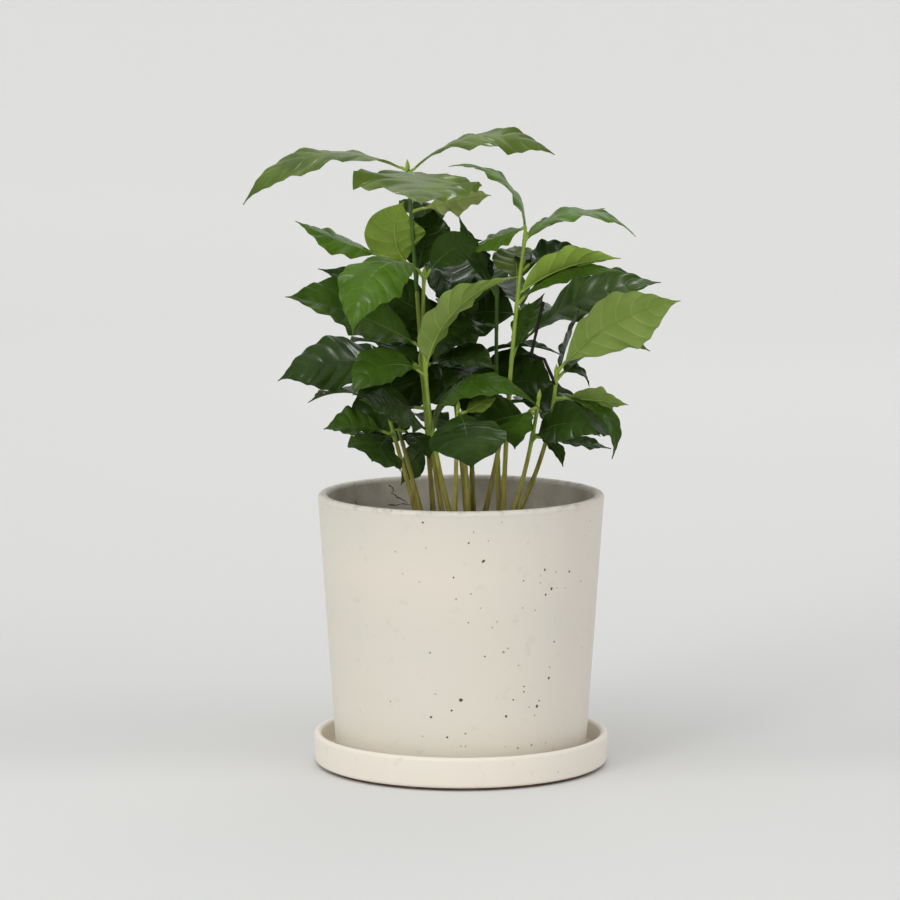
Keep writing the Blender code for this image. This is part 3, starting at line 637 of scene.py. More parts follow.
def twig_line():
    """Points along the dead twig and its radii, with the knob."""
    points = [Vector(point) * MM for point in DEAD_TWIG]
    line = []
    for near, far in zip(points, points[1:]):
        line += [near.lerp(far, i / TWIG_STEPS) for i in range(TWIG_STEPS)]
    line.append(points[-1])
    knob = DEAD_TWIG_KNOB_PLACE * TWIG_STEPS
    radii = []
    for i in range(len(line)):
        bulge = (DEAD_TWIG_KNOB - DEAD_TWIG_RADIUS) * swollen(i, [knob], KNOB_LENGTH)
        radii.append((DEAD_TWIG_RADIUS + bulge) * TWIG_FULLNESS * MM)
    return line, radii


def half_width_share(u, peak):
    """Half width of a blade at u along it, with a drawn-out tip; a higher peak is widest
    further out."""
    share = np.clip(np.sin(np.pi * np.clip(u, 0, 1) ** peak), 0, 1)
    return share ** (TIP_DRAWN_OUT[0] + TIP_DRAWN_OUT[1] * u ** 3)


def leaf_frames(seedling, leaf, steps):
    """Places along a leaf, each as (point, side, up, u); u is under 0 on the petiole."""
    length = leaf.petiole + leaf.length
    points = [stem_point(seedling, leaf.height * MM)]

    def climb(share):
        return math.radians(leaf.rise + (leaf.fall - leaf.rise) * share ** leaf.ease)

    def level(share, turn=0):
        bearing = math.radians(leaf.bearing + leaf.bend * share + turn)
        return Vector((math.cos(bearing), math.sin(bearing), 0))

    for i in range(MIDRIB_STEPS):
        share = (i + 0.5) / MIDRIB_STEPS
        angle = climb(share)
        step = level(share) * math.cos(angle) + Vector((0, 0, math.sin(angle)))
        points.append(points[-1] + step * length * MM / MIDRIB_STEPS)
    frames = []
    start = leaf.petiole / length
    for share in [0.0, start * PETIOLE_END] + spaced(start, 1, steps):
        place = share * MIDRIB_STEPS
        low = min(int(place), MIDRIB_STEPS - 1)
        point = points[low].lerp(points[low + 1], place - low)
        angle = climb(share)
        side = level(share, 90)
        normal = Vector((0, 0, math.cos(angle))) - level(share) * math.sin(angle)
        u = (share - start) / (1 - start)
        roll = math.radians(leaf.roll + leaf.twist * max(u, 0.0))
        across = side * math.cos(roll) + normal * math.sin(roll)
        frames.append((point, across, normal * math.cos(roll) - side * math.sin(roll), u))
    return frames


def leaf_section(leaf, frame, thickness):
    """Six points round a leaf: left, middle and right of its top, then of its underside."""
    point, across, up, u = frame
    spread = PETIOLE_RADIUS
    depth = PETIOLE_RADIUS * PETIOLE_FLATNESS
    lifts = (0, 0, 0)
    if u >= 0:
        width = leaf.width * MM / 2 * float(half_width_share(u, leaf.peak))
        cup = math.radians(leaf.cup)
        spread = width * math.cos(cup) + TIP_HALF_WIDTH
        depth = thickness / 2
        wave = leaf.wave * width * math.sin(2 * math.pi * MARGIN_WAVES * u)
        lifts = (width * math.sin(cup) + wave, 0, width * math.sin(cup) - wave)
    sides = list(zip((1, 0, -1), lifts))
    top = [point + across * spread * s + up * (lift + depth) for s, lift in sides]
    low = [point + across * spread * s + up * (lift - depth) for s, lift in sides[::-1]]
    return top + low


def first_free(seedling, leaf, others):
    """The leaf moved the least that touches nothing, with its search tree, or None."""
    for size in SMALLER_SIZES:
        for turn, climb in NUDGES:
            tried = leaf._replace(
                bearing=leaf.bearing + turn, rise=leaf.rise + climb, fall=leaf.fall + climb,
                length=leaf.length * size, width=leaf.width * size,
            )
            thickness = max(LEAST_THICKNESS, THICKNESS_SHARE * tried.length * MM) + SPARE_ROOM
            frames = leaf_frames(seedling, tried, BLADE_STEPS)
            sections = [leaf_section(tried, frame, thickness) for frame in frames]
            tree = tree_of(*joined(sections))
            if not any(tree.overlap(other) for other in others):
                return tried, tree
    return None


def settle():
    """The leaves that stay clear of the other seedlings, as {seedling: [leaf]}."""
    placed = [(DEAD_TWIG_OWNER, True, tree_of(*limb(*twig_line(), COARSE_SIDES)))]
    for name, seedling in SEEDLINGS.items():
        bare, leafy = stem_trees(seedling)
        placed += [(name, False, bare), (name, True, leafy)]
    kept = {}
    for name, seedling in SEEDLINGS.items():
        kept[name] = []
        for leaf in grown_leaves(seedling):
            others = [tree for owner, own, tree in placed if owner != name or not own]
            found = first_free(seedling, leaf, others)
            if found:
                kept[name].append(found[0])
                placed.append((name, True, found[1]))
    return kept


def add_object(name, data):
    made = bpy.data.objects.new(name, data)
    bpy.context.scene.collection.objects.link(made)
    return made


class Parts:
    """Points and faces of a piece that is joined from many small shapes."""

    def __init__(self):
        self.points = []
        self.faces = []
        self.slots = []

    def add(self, points, faces, slots=0):
        """Adds a shape; slots are its materials' places, one number or one for each face."""
        count = len(self.points)
        self.points.extend(tuple(point) for point in points)
        self.faces.extend(tuple(int(i) + count for i in face) for face in faces)
        self.slots.extend([slots] * len(faces) if isinstance(slots, int) else slots)

    def plain_piece(self, name, materials, sharp_angle):
        mesh = bpy.data.meshes.new(name)
        mesh.from_pydata(self.points, [], self.faces)
        for item in materials:
            mesh.materials.append(item)
        mesh.polygons.foreach_set("material_index", self.slots)
        mesh.shade_smooth()
        mesh.set_sharp_from_angle(angle=math.radians(sharp_angle))
        return add_object(name, mesh)

    def piece(self, name, materials, slot, *nodes, sharp_angle=60):
        """Makes a piece that moves with the plant and stands for the nodes; slot is not used."""
        made = self.plain_piece(name, materials, sharp_angle)
        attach(made, "root")
        if nodes:
            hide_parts(*nodes)


def connect(node, inputs):
    """Gives a node its inputs, each a value or another node's output."""
    for socket, value in inputs.items():
        if isinstance(value, bpy.types.NodeSocket):
            node.id_data.links.new(value, node.inputs[socket])
        else:
            node.inputs[socket].default_value = value


def add_node(kind, inputs, **settings):
    """A node with its inputs, at least one of them an output in the same tree."""
    linked = [value for value in inputs.values() if isinstance(value, bpy.types.NodeSocket)]
    node = linked[0].id_data.nodes.new(kind)
    for key, value in settings.items():
        setattr(node, key, value)
    connect(node, inputs)
    return node


def new_material(name):
    """A material, and the place on its object, which its patterns follow."""
    made = bpy.data.materials.new(name)
    made.use_nodes = True
    return made, made.node_tree.nodes.new("ShaderNodeTexCoord").outputs["Object"]


def coated(made, colour, roughness, relief, gloss):
    """The material with its colour, roughness, relief and gloss put on its shader."""
    inputs = {"Base Color": colour, "Roughness": roughness, "Normal": relief}
    inputs["Specular IOR Level"] = gloss
    connect(made.node_tree.nodes["Principled BSDF"], inputs)
    return made


def axes(place):
    return add_node("ShaderNodeSeparateXYZ", {"Vector": place}).outputs


def noise(place, scale, detail=3.0, roughness=0.5):
    inputs = {"Vector": place, "Scale": scale, "Detail": detail, "Roughness": roughness}
    return add_node("ShaderNodeTexNoise", inputs).outputs["Fac"]


def ramp(factor, stops):
    """A colour ramp through (position, colour) stops."""
    node = add_node("ShaderNodeValToRGB", {"Fac": factor})
    elements = node.color_ramp.elements
    while len(elements) < len(stops):
        elements.new(0.5)
    for element, (position, colour) in zip(elements, stops):
        element.position = position
        element.color = (*colour, 1.0)
    return node.outputs["Color"]


def mixed(factor, first, second, blend="MIX"):
    if isinstance(second, tuple):
        second = (*second, 1.0)
    inputs = {0: factor, 6: first, 7: second}
    node = add_node("ShaderNodeMix", inputs, data_type="RGBA", blend_type=blend)
    return node.outputs[2]


def product(first, second):
    inputs = {0: first, 1: second}
    return add_node("ShaderNodeMath", inputs, operation="MULTIPLY").outputs[0]


def ranged(value, low, high, to_low=0.0, to_high=1.0):
    """The value moved from the range between low and high to another range."""
    inputs = {"Value": value, "From Min": low, "From Max": high}
    inputs.update({"To Min": to_low, "To Max": to_high})
    return add_node("ShaderNodeMapRange", inputs).outputs["Result"]


def bump(height, strength, distance):
    inputs = {"Height": height, "Strength": strength, "Distance": distance}
    return add_node("ShaderNodeBump", inputs).outputs["Normal"]


def mottled(name, light, dark, scale, roughness, grain, relief, depth, gloss):
    """A finish that wanders between two colours, with a fine relief.

    roughness is given from and to, grain is the scale of the relief, relief its strength
    and depth its height.
    """
    made, place = new_material(name)
    patches = noise(place, scale, 4.0)
    colour = ramp(patches, ((0.36, dark), (0.64, light)))
    fine = bump(noise(place, grain, 2.0), relief, depth)
    return coated(made, colour, ranged(patches, 0.3, 0.7, *roughness), fine, gloss)


def plain_finish(name):
    return mottled(name, *FINISHES[name])


def leaf_finishes(name):
    """Upper face, its veins, lower face and its veins."""
    tone = TONES[name]
    sides = (
        ("upper", tone.upper, 1.0, UPPER_GRAIN, tone.gloss),
        ("vein", tone.upper, VEIN_LIFT, VEIN_GRAIN, tone.gloss),
        ("lower", tone.lower, 1.0, LOWER_GRAIN, LOWER_GLOSS),
        ("under_vein", tone.lower, VEIN_LIFT, UNDER_VEIN_GRAIN, LOWER_GLOSS),
    )
    made = []
    for side, colours, lift, grain, gloss in sides:
        lifted = [tuple(value * lift for value in colour) for colour in colours]
        made.append(mottled(f"leaf_{side}_{name}", *lifted, *grain, gloss))
    return made


def young_bark():
    """Green-yellow above, olive and brown streaks towards the soil."""
    made, place = new_material("young_bark")
    height = axes(place)["Z"]
    base = ramp(ranged(height, SOIL_TOP, SOIL_TOP + BARK_GREEN_HEIGHT), BARK_STOPS)
    stretch = {"Vector": place, "Scale": STREAK_SCALE}
    stretched = add_node("ShaderNodeMapping", stretch).outputs["Vector"]
    streaks = noise(stretched, 1.0, 4.0, 0.6)
    colour = mixed(1.0, base, ramp(streaks, STREAK_STOPS), "MULTIPLY")
    roughness = ranged(streaks, 0.3, 0.7, 0.62, 0.48)
    return coated(made, colour, roughness, bump(streaks, 0.35, 0.0004), WOOD_GLOSS)


def glaze(name):
    """A cream glaze with soft clouds, faint smudges, level bands and small pores."""
    warm, cool, shade, bands = GLAZES[name]
    made, place = new_material(name)
    clouds = noise(place, 16, 3.0, 0.55)
    base = ramp(clouds, ((0.35, cool), (0.65, warm)))
    along = axes(place)
    band = ramp(ranged(along["Z"], 0.0, BANDS_TOP), bands)
    base = mixed(1.0, base, band, "MULTIPLY")
    # Towards +X, the right side, the glaze turns to the shaded cream: painted shade
    painted_shade_right = ranged(along["X"], 0.02, 0.08, 0.0, 0.75)
    smudge = ranged(noise(place, 95, 5.0, 0.65), 0.60, 0.78, 0.0, 0.30)
    cells = add_node("ShaderNodeTexVoronoi", {"Vector": place, "Scale": 130.0}).outputs
    chosen = add_node("ShaderNodeSeparateColor", {"Color": cells["Color"]}).outputs["Red"]
    dot = ranged(cells["Distance"], 0.030, 0.065, 0.75, 0.0)
    pore = product(ranged(chosen, 0.90, 0.91), dot)
    lip = ranged(along["Z"], POT_RIM_HEIGHT - WORN_HEIGHT, POT_RIM_HEIGHT, 0.0, 0.55)
    worn = product(lip, ranged(noise(place, 210, 4.0, 0.7), 0.50, 0.66))
    marks = ((painted_shade_right, shade), (smudge, SMUDGE_COLOUR), (pore, PORE_COLOUR), (worn, WORN_COLOUR))
    for share, colour in marks:
        base = mixed(share, base, colour)
    skin = noise(place, 240, 3.0)
    roughness = ranged(skin, 0.3, 0.7, 0.46, 0.62)
    return coated(made, base, roughness, bump(skin, 0.10, 0.0006), 0.35)


def blade_surface(seedling, leaf, chance):
    """Mid-surface of a blade as a grid of points: rows follow its veins from the base to
    the tip, columns run from the right margin to the left one."""
    frames = [item for item in leaf_frames(seedling, leaf, FRAME_STEPS) if item[3] >= 0]
    veins = round(LEAST_VEINS + leaf.length / LENGTH_PER_VEIN)
    phases = [k + row for k in range(veins) for row in VEIN_ROWS] + [veins]
    columns = [-v for v in reversed(HALF_COLUMNS)] + [0.0, *HALF_COLUMNS]
    phase, v = np.meshgrid(phases, columns, indexing="ij")
    s = phase / veins
    out = np.abs(v)
    side = np.sign(v)
    u = s + VEIN_SWEEP * out ** VEIN_BEND * 4 * s * (1 - s)
    share = half_width_share(u, leaf.peak)
    width = leaf.width * MM / 2 * share
    cup = math.radians(leaf.cup)
    spread = (width * math.cos(cup) + TIP_HALF_WIDTH / 2) * v
    lift = width * math.sin(cup) * out ** CUP_ROUND
    lift += leaf.wave * width * np.sin(2 * np.pi * MARGIN_WAVES * u) * side * out ** 1.5
    puff = np.sin(np.pi * (phase % 1.0)) ** QUILT_ROUND - 0.6
    fullness = np.minimum(1.0, 4.0 * out + 0.15) * np.sqrt(share)
    swells = np.array([[chance.uniform(*UNEVEN) for _ in range(2)] for _ in range(veins + 1)])
    swell = swells[phase.astype(int), (side > 0).astype(int)]
    lift += leaf.length * MM / veins * QUILT_RISE * swell * puff * fullness
    ripple = RIPPLE * chance.uniform(*RIPPLE_SPREAD)
    slow = np.sin(2 * np.pi * (0.31 * phase + chance.uniform(0.0, 1.0) + 0.25 * side))
    lift += width * ripple * out ** 3 * (0.9 * slow - np.cos(2 * np.pi * phase))

    def at(place):
        along = [item[3] for item in frames]
        table = np.array([tuple(item[place]) for item in frames])
        return np.stack([np.interp(u, along, table[:, k]) for k in range(3)], axis=-1)

    return at(0) + at(1) * spread[..., None] + at(2) * lift[..., None], phase


def facing(grid):
    """Unit normals of a grid of points, on the upper side of the leaf."""
    normal = np.cross(np.gradient(grid, axis=0), np.gradient(grid, axis=1))
    return normal / np.maximum(np.linalg.norm(normal, axis=-1, keepdims=True), 1e-12)


def add_blade(parts, seedling, leaf, chance, slot):
    """A thin closed leaf: its upper and lower skins share the points of the margin.

    slot is the first of its four finishes. Returns the grid of its middle surface.
    """
    grid, phase = blade_surface(seedling, leaf, chance)
    rows, columns = grid.shape[:2]
    skin = facing(grid) * BLADE_THICKNESS / 2
    upper = grid.copy()
    upper[1:-1, 1:-1] += skin[1:-1, 1:-1]
    lower = (grid - skin)[1:-1, 1:-1]
    top = np.arange(rows * columns).reshape(rows, columns)
    low = top.copy()
    low[1:-1, 1:-1] = top.size + np.arange(lower.size // 3).reshape(lower.shape[:2])
    faces = []
    slots = []
    for r in range(rows - 1):
        between = (phase[r, 0] + phase[r + 1, 0]) / 2 % 1.0
        vein = between < VEIN_ROWS[1] or between > VEIN_ROWS[-1]
        for c in range(columns - 1):
            on_vein = vein and 0 < c < columns - 2
            faces.append((top[r, c], top[r + 1, c], top[r + 1, c + 1], top[r, c + 1]))
            faces.append((low[r, c], low[r, c + 1], low[r + 1, c + 1], low[r + 1, c]))
            slots += [slot + on_vein, slot + 2 + on_vein]
    parts.add(np.concatenate([upper.reshape(-1, 3), lower.reshape(-1, 3)]), faces, slots)
    return grid


def add_rib(parts, seedling, leaf, grid, slot):
    """The petiole, run on as the midrib, which stands out below the blade.

    slot is the midrib's finish; the petiole has the first one.
    """
    frames = leaf_frames(seedling, leaf, FRAME_STEPS)
    start, neck = [item[0] for item in frames if item[3] < 0]
    line = [start.lerp(neck, share) for share in spaced(0, 1, PETIOLE_STEPS)]
    radii = spaced(*[PETIOLE_RADIUS * share for share in PETIOLE_TAPER], PETIOLE_STEPS)
    middle = grid.shape[1] // 2
    down = facing(grid)[:, middle]
    for r in range(1, len(grid) - 1, 2):
        thinner = (RIB_TIP_RADIUS - RIB_BASE_RADIUS) * (r / len(grid)) ** 0.8
        radius = RIB_BASE_RADIUS + thinner
        place = Vector(grid[r, middle]) - Vector(down[r]) * radius * RIB_SINK
        if (place - line[-1]).length >= RIB_LEAST_STEP:
            line.append(place)
            radii.append(radius)
    stalk = [0] * (PETIOLE_STEPS * LIMB_SIDES)
    rest = [slot] * ((len(line) - 1 - PETIOLE_STEPS) * LIMB_SIDES)
    parts.add(*limb(line, radii), stalk + rest + [0, slot])


def add_bud(parts, point, direction, length, width):
    """Two folded young leaves that stand together as a spear."""
    side = direction.orthogonal().normalized() * width
    for sign in (-1, 1):
        points = []
        radii = []
        for share in spaced(0, 1, 7):
            swell = math.sin(math.pi * (0.12 + 0.88 * share) ** 0.8)
            points.append(point + direction * length * share + side * sign * 0.35 * swell)
            radii.append(width * 0.5 * max(swell, 0.12))
        parts.add(*limb(points, radii, 8))


def upper_stem(parts, seedling, leaves, slot):
    """The leafy stem with a swelling at each pair of leaves and its bud on top."""
    start = bare_top(seedling)
    top = seedling.top[2] * MM
    heights = spaced(start - MM, top, max(4, round((top - start) / STEM_RING_GAP)))
    points, radii = stem_line(seedling, heights)
    nodes = [leaf.height * MM for leaf in leaves]
    for i, height in enumerate(heights):
        swell = min(swollen(height, nodes, NODE_LENGTH), 1.6)
        radii[i] *= STEM_SLIMNESS * (1 + NODE_SWELL * swell)
    top = points[-1]
    tip = (top - points[-2]).normalized()
    end = (top + tip * STEM_TIP_LENGTH, STEM_TOP_RADIUS * 0.8)
    parts.add(*limb(points + [end[0]], radii + [end[1]]), slot)
    add_bud(parts, top, tip, BUD_LENGTH * 1.1, BUD_WIDTH)


def bark_piece(name, seedling, finish):
    """The bare stem with its flare, lengthwise wrinkles and old leaf scars."""
    chance = random.Random(f"bark {name}")
    bottom = SOIL_TOP - BARK_DEPTH
    end = bare_top(seedling)
    heights = spaced(bottom, end, max(12, round((end - bottom) / BARK_RING_GAP)))
    points, radii = stem_line(seedling, heights)
    scars = [chance.uniform(SOIL_TOP + 8 * MM, end - 2 * MM) for _ in range(2)]
    for i, height in enumerate(heights):
        radii[i] *= STEM_SLIMNESS * (1 + SCAR_SWELL * swollen(height, scars, SCAR_LENGTH))
    turns = [chance.uniform(0, 2 * math.pi) for _ in range(3)]
    waves = [chance.uniform(0.05, 0.16) for _ in range(3)]

    def wrinkle(angle, i):
        folds = [math.sin((3 + 2 * k) * angle + turns[k] + waves[k] * i) for k in range(3)]
        return WRINKLE_DEPTH * sum(folds)

    parts = Parts()
    parts.add(*limb(points, radii, BARK_SIDES, wrinkle))
    parts.piece(f"bark_{name}", [finish], "stem", f"stem_{name}")


def dress_seedling(name, seedling, leaves, finishes, ribs, woods):
    """Fine leaves and their wood in place of one seedling's mass.

    The first of the woods is the petioles' and the second the stem's.
    """
    blades = Parts()
    twigs = Parts()
    tones = sorted({leaf.tone for leaf in leaves})
    for leaf in leaves:
        place = tones.index(leaf.tone)
        chance = random.Random(f"{name} {leaf.name}")
        grid = add_blade(blades, seedling, leaf, chance, 4 * place)
        add_rib(twigs, seedling, leaf, grid, 2 + place)
    upper_stem(twigs, seedling, leaves, 1)
    mass = f"shoot_{name}"
    if leaves:
        materials = [item for tone in tones for item in finishes[tone]]
        blades.piece(f"leaves_{name}", materials, "foliage", mass)
    twigs.piece(f"twigs_{name}", woods + [ribs[tone] for tone in tones], "stem", mass)


def dress_dead_twig():
    def lumps(angle, i):
        return 0.10 * math.sin(2 * angle + 1.7 * i) + 0.06 * math.sin(5 * i)

    parts = Parts()
    parts.add(*limb(*twig_line(), TWIG_SIDES, lumps))
    parts.piece("dead_twig", [plain_finish("dead_wood")], "stem")


def circle(radius, z, steps, wobble=0.0):
    """A level ring of points, or one point on the axis; wobble is the share of its radius
    by which it wanders."""
    ring = []
    for k in range(steps if radius else 1):
        angle = 2 * math.pi * k / steps
        wander = math.sin(2 * angle + 0.7) + 0.6 * math.sin(5 * angle + 2)
        reach = radius * (1 + wobble * wander)
        ring.append((reach * math.cos(angle), reach * math.sin(angle), z))
    return ring


def turned(profile, slots, wobble=0.0, steps=TURNED_STEPS):
    """A solid of revolution from (radius, height) points; slots are the materials of its
    bands. Points at radius 0 close it at the axis."""
    parts = Parts()
    points, faces = joined([circle(r, z, steps, wobble) for r, z in profile])
    parts.add(points, faces, [slots[i // steps] for i in range(len(faces))])
    return parts


def make_pot():
    """Inside floor, inner wall, lip, outer wall with its throwing rings, and foot."""
    lip = POT_RIM_HEIGHT - LIP_ROUND
    floor = POT_BASE + POT_FLOOR
    profile = [(0, floor)]
    profile += [(pot_radius(z) - POT_WALL, z) for z in (floor, lip - 0.0012)]
    inner = len(profile)
    centre = RIM_RADIUS - POT_WALL + LIP_ROUND
    profile += arc((centre, lip), LIP_ROUND, 180, 90, LIP_ARC_STEPS)
    profile += arc((RIM_RADIUS - LIP_ROUND, lip), LIP_ROUND, 90, 0, LIP_ARC_STEPS)
    steps = THROWING_RINGS * 4
    for i, z in enumerate(spaced(lip - 0.0008, POT_BASE + FOOT_EDGE, steps)):
        ring = RING_DEPTH * (math.sin(math.pi * i / 2 + 0.4) - 1) * min(1.0, (steps - i) / 4)
        profile.append((pot_radius(z) + ring, z))
    profile += [(POT_FOOT_RADIUS - FOOT_EDGE, POT_BASE), (0, POT_BASE)]
    slots = [1 if band < inner else 0 for band in range(len(profile) - 2)] + [2]
    materials = [glaze("glaze_cream"), plain_finish("inner_wash"), plain_finish("bare_clay")]
    pot = turned(profile, slots, POT_WOBBLE)
    pot.piece("pot_body", materials, "pot", "pot", sharp_angle=TURNED_SHARP)


def make_saucer():
    lip = SAUCER_WALL / 2
    inner = SAUCER_RADIUS - SAUCER_WALL - SAUCER_COVE
    outer = SAUCER_RADIUS - SAUCER_LEAN - SAUCER_EDGE
    profile = [(0, SAUCER_FLOOR), (inner, SAUCER_FLOOR)]
    profile += arc((inner, SAUCER_FLOOR + SAUCER_COVE), SAUCER_COVE, -90, 0, 6)
    profile += arc((SAUCER_RADIUS - lip, SAUCER_HEIGHT - lip), lip, 180, 0, 2 * LIP_ARC_STEPS)
    profile += arc((outer, FOOT_RING_HEIGHT + SAUCER_EDGE), SAUCER_EDGE, 0, -80, LIP_ARC_STEPS)
    glazed = len(profile) - 1
    foot = ((0, FOOT_RING_HEIGHT), (0.0002, 0.0006), (0.0008, 0), (FOOT_RING_RADIUS, 0))
    profile += [(FOOT_RING_RADIUS - inset, z) for inset, z in foot]
    slots = [0 if band < glazed else 1 for band in range(len(profile) - 1)]
    materials = [glaze("glaze_saucer"), plain_finish("bare_clay")]
    saucer = turned(profile, slots, SAUCER_WOBBLE)
    saucer.piece("saucer_body", materials, "saucer", "saucer", sharp_angle=TURNED_SHARP)


def round_wall(angle, height, radius, lean=0.0):
    """A place on a turned wall and its outward normal; angle 0 is the front."""
    turn = math.radians(angle)
    outward = Vector((math.sin(turn), -math.cos(turn), 0))
    place = outward * radius + Vector((0, 0, height))
    return place, (outward + Vector((0, 0, lean))).normalized()


def add_speck(parts, wall, width, chance):
    """A flat uneven dome on a wall, which is given as a place and its outward normal."""
    centre, outward = wall
    side = Vector((-outward.y, outward.x, 0)).normalized()
    up = outward.cross(side)
    points = []
    faces = []
    for k in range(SPECK_SIDES):
        angle = 2 * math.pi * k / SPECK_SIDES
        reach = width / 2 * chance.uniform(0.9, 1.35)
        place = centre + side * math.cos(angle) * reach + up * math.sin(angle) * reach
        points.append(place - outward * 0.05 * MM)
        after = (k + 1) % SPECK_SIDES
        faces += [(k, after, SPECK_SIDES), (after, k, SPECK_SIDES + 1)]
    points += [centre + outward * SPECK_HEIGHT, centre - outward * 0.2 * MM]
    parts.add(points, faces)


def make_specks(finish, faint):
    chance = random.Random("specks")
    lean = (POT_FOOT_RADIUS - RIM_RADIUS) / (POT_RIM_HEIGHT - POT_BASE)
    stray = []
    for _ in range(STRAY_SPECKS):
        angle = chance.uniform(70, 290)
        stray.append((angle, chance.triangular(24, 150, 50), chance.triangular(0.6, 2.0, 0.9)))
    half = STRAY_SPECKS // 2
    tables = (
        ("pot_specks", finish, POT_SPECKS + tuple(stray[:half])),
        ("pot_faint_specks", faint, FAINT_SPECKS + tuple(stray[half:])),
        ("saucer_specks", finish, SAUCER_SPECKS),
    )
    for name, colour, specks in tables:
        parts = Parts()
        body = name.split("_")[0]
        for angle, height, width in specks:
            wall = round_wall(angle, height * MM, SAUCER_RADIUS - GAP)
            if body == "pot":
                radius = pot_radius(height * MM) - RING_DEPTH
                wall = round_wall(angle, height * MM, radius, lean)
            add_speck(parts, wall, width * MM, chance)
        parts.piece(name, [colour], body)


def make_cracks(finish):
    """Thin dark hair cracks on the pot's inner wall."""
    chance = random.Random("cracks")
    parts = Parts()
    for line in CRACKS:
        points = []
        for (a0, h0), (a1, h1) in zip(line, line[1:]):
            for i in range(CRACK_STEPS):
                share = i / CRACK_STEPS
                angle = a0 + (a1 - a0) * share + chance.uniform(-0.35, 0.35)
                height = (h0 + (h1 - h0) * share + chance.uniform(-0.25, 0.25)) * MM
                wall = pot_radius(height) - POT_WALL + 0.1 * MM
                points.append(round_wall(180 - angle, height, wall)[0])
        radii = [chance.uniform(0.22, 0.46) * MM for _ in points]
        parts.add(*limb(points, radii, 6))
    parts.piece("pot_cracks", [finish], "pot")


def make_soil(finish):
    """A rough bed of soil with loose crumbs on it."""
    chance = random.Random("soil")
    waves = []
    for k in range(SOIL_WAVES):
        turn = chance.uniform(0, math.pi)
        waves.append((turn, 60 * 1.32 ** k, chance.uniform(0, 6.3), 1 / (1 + 0.35 * k)))
    total = sum(wave[3] for wave in waves)

    def bed(x, y):
        """The height of the rough bed at a place."""
        rise = 0.0
        for turn, size, shift, weight in waves:
            rise += weight * math.sin(size * (x * math.cos(turn) + y * math.sin(turn)) + shift)
        return SOIL_TOP + min(SOIL_ROUGHNESS * rise / total - 0.4 * MM, 1.0 * MM)

    low = SOIL_TOP - SOIL_DEPTH
    edge, wall = [pot_radius(z) - POT_WALL - GAP for z in (SOIL_TOP, low)]
    rings = [[(0, 0, SOIL_TOP)]]
    for radius in spaced(0, edge, SOIL_RINGS)[1:]:
        rings.append([(x, y, bed(x, y)) for x, y, z in circle(radius, 0, SOIL_SPOKES)])
    rings += [circle(wall, low, SOIL_SPOKES), [(0, 0, low)]]
    parts = Parts()
    parts.add(*joined(rings))
    parts.piece("soil_bed", [finish], "soil", "soil", sharp_angle=80)
    crumbs = Parts()
    for _ in range(CRUMBS):
        r = edge * 0.97 * math.sqrt(chance.random())
        angle = chance.uniform(0, 2 * math.pi)
        size = chance.triangular(0.5, 2.2, 0.8) * MM
        centre = Vector((r * math.cos(angle), r * math.sin(angle), SOIL_TOP + size * 0.25))
        add_crumb(crumbs, centre, size, chance)
    crumbs.piece("soil_crumbs", [finish], "soil", sharp_angle=40)


def add_crumb(parts, centre, size, chance):
    """A lump with uneven corners."""
    work = bmesh.new()
    bmesh.ops.create_icosphere(work, subdivisions=1, radius=1.0)
    stretch = [chance.uniform(*reach) for reach in ((0.7, 1.3), (0.7, 1.3), (0.5, 0.9))]
    points = []
    for vertex in work.verts:
        reach = size * chance.uniform(0.75, 1.15)
        points.append(centre + Vector([a * b for a, b in zip(vertex.co, stretch)]) * reach)
    faces = [tuple(vertex.index for vertex in face.verts) for face in work.faces]
    work.free()
    parts.add(points, faces)


def make_plant():
    kept = settle()
    finishes = {name: leaf_finishes(name) for name in TONES}
    ribs = {}
    for name, tone in TONES.items():
        ribs[name] = mottled(f"rib_{name}", *tone.rib, *WOOD_GRAIN, WOOD_GLOSS)
    wood = plain_finish("green_wood")
    shaded = plain_finish("shaded_wood")
    bark = young_bark()
    for name, seedling in SEEDLINGS.items():
        petiole = shaded if name in SHADED_PETIOLES else wood
        stem = shaded if name in SHADED_STEMS else wood
        bark_piece(name, seedling, bark)
        dress_seedling(name, seedling, kept[name], finishes, ribs, [petiole, stem])
    dress_dead_twig()


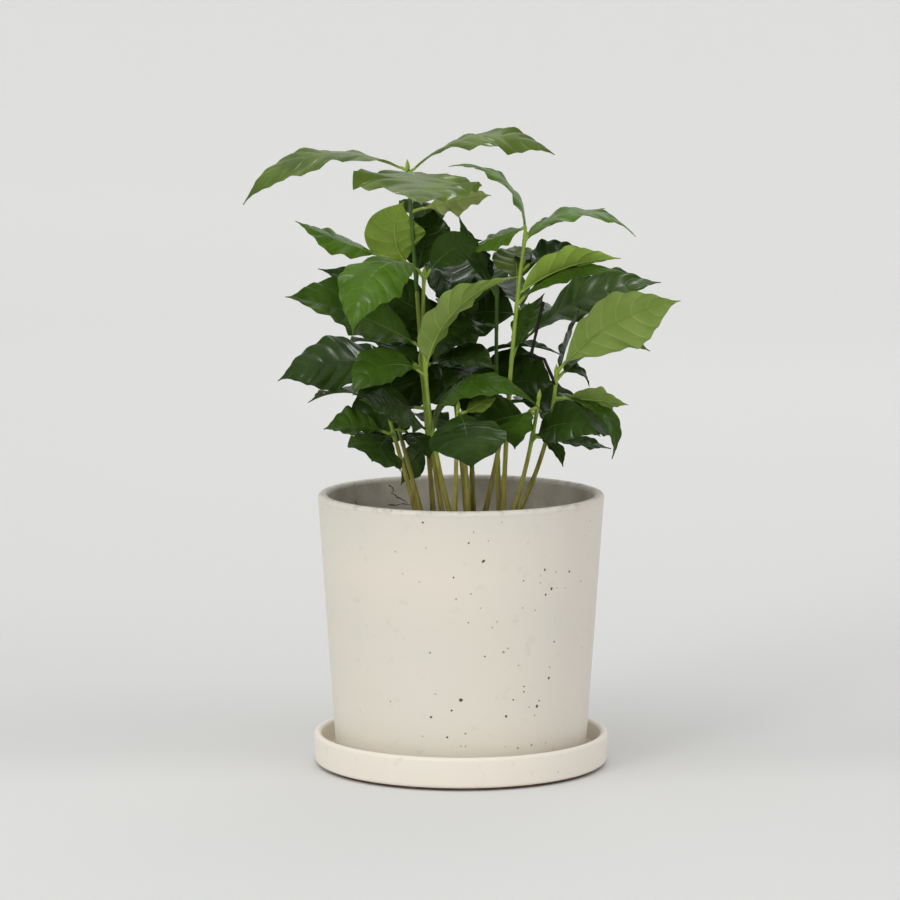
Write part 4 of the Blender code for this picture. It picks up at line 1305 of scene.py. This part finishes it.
def make_stage():
    """A round floor of pale paper that sweeps up into a wall far from the plant."""
    made, place = new_material("paper")
    # The greys along Y are painted shade just behind the pot and painted light towards the wall
    low = PAPER_GREYS[0][0]
    high = PAPER_GREYS[-1][0]
    stops = [((y - low) / (high - low), (grey, grey, grey * 0.985)) for y, grey in PAPER_GREYS]
    colour = ramp(ranged(axes(place)["Y"], low, high), stops)
    coated(made, colour, 0.9, bump(noise(place, 300, 2.0), 0.02, 0.0003), 0.1)
    profile = [(0, 0.0)] + [(0.02 * 1.35 ** k, 0.0) for k in range(16)] + [(FLOOR_RADIUS, 0.0)]
    profile += arc((FLOOR_RADIUS, FLOOR_BEND), FLOOR_BEND, -90, 0, 20)[1:]
    profile += [(FLOOR_RADIUS + FLOOR_BEND, WALL_HEIGHT)]
    floor = turned(profile, [0] * len(profile), steps=FLOOR_STEPS)
    floor.plain_piece("floor", [made], TURNED_SHARP)


def make_light():
    """A pale sky that is brightest overhead, large soft lamps and small ones that only glint."""
    world = bpy.data.worlds.new("studio")
    world.use_nodes = True
    nodes = world.node_tree.nodes
    direction = nodes.new("ShaderNodeTexCoord").outputs["Generated"]
    strength = ranged(axes(direction)["Z"], 0.0, 1.0, *SKY_STRENGTH)
    connect(nodes["Background"], {"Strength": strength, "Color": (1.0, 1.0, 1.0, 1.0)})
    bpy.context.scene.world = world
    for name, (place, aim, size, power) in LAMPS.items():
        data = bpy.data.lights.new(name, "AREA")
        data.shape = "DISK"
        data.size = size
        data.energy = power
        lamp = add_object(name, data)
        lamp.location = place
        towards = Vector((0, 0, aim)) - Vector(place)
        lamp.rotation_euler = towards.to_track_quat("-Z", "Y").to_euler()
        lamp.visible_diffuse = not name.startswith("glint")


def make_camera():
    data = bpy.data.cameras.new("camera")
    data.lens = FOCAL_LENGTH
    made = add_object("camera", data)
    made.location = CAMERA_PLACE
    made.rotation_euler = (math.radians(90 - CAMERA_PITCH), 0, math.radians(CAMERA_YAW))
    bpy.context.scene.camera = made


make_camera()
make_stage()
make_light()
make_saucer()
make_pot()
speck = plain_finish("iron_speck")
make_specks(speck, plain_finish("faint_speck"))
make_cracks(speck)
make_soil(plain_finish("potting_soil"))
make_plant()

bpy.context.scene.view_settings.view_transform = "Standard"
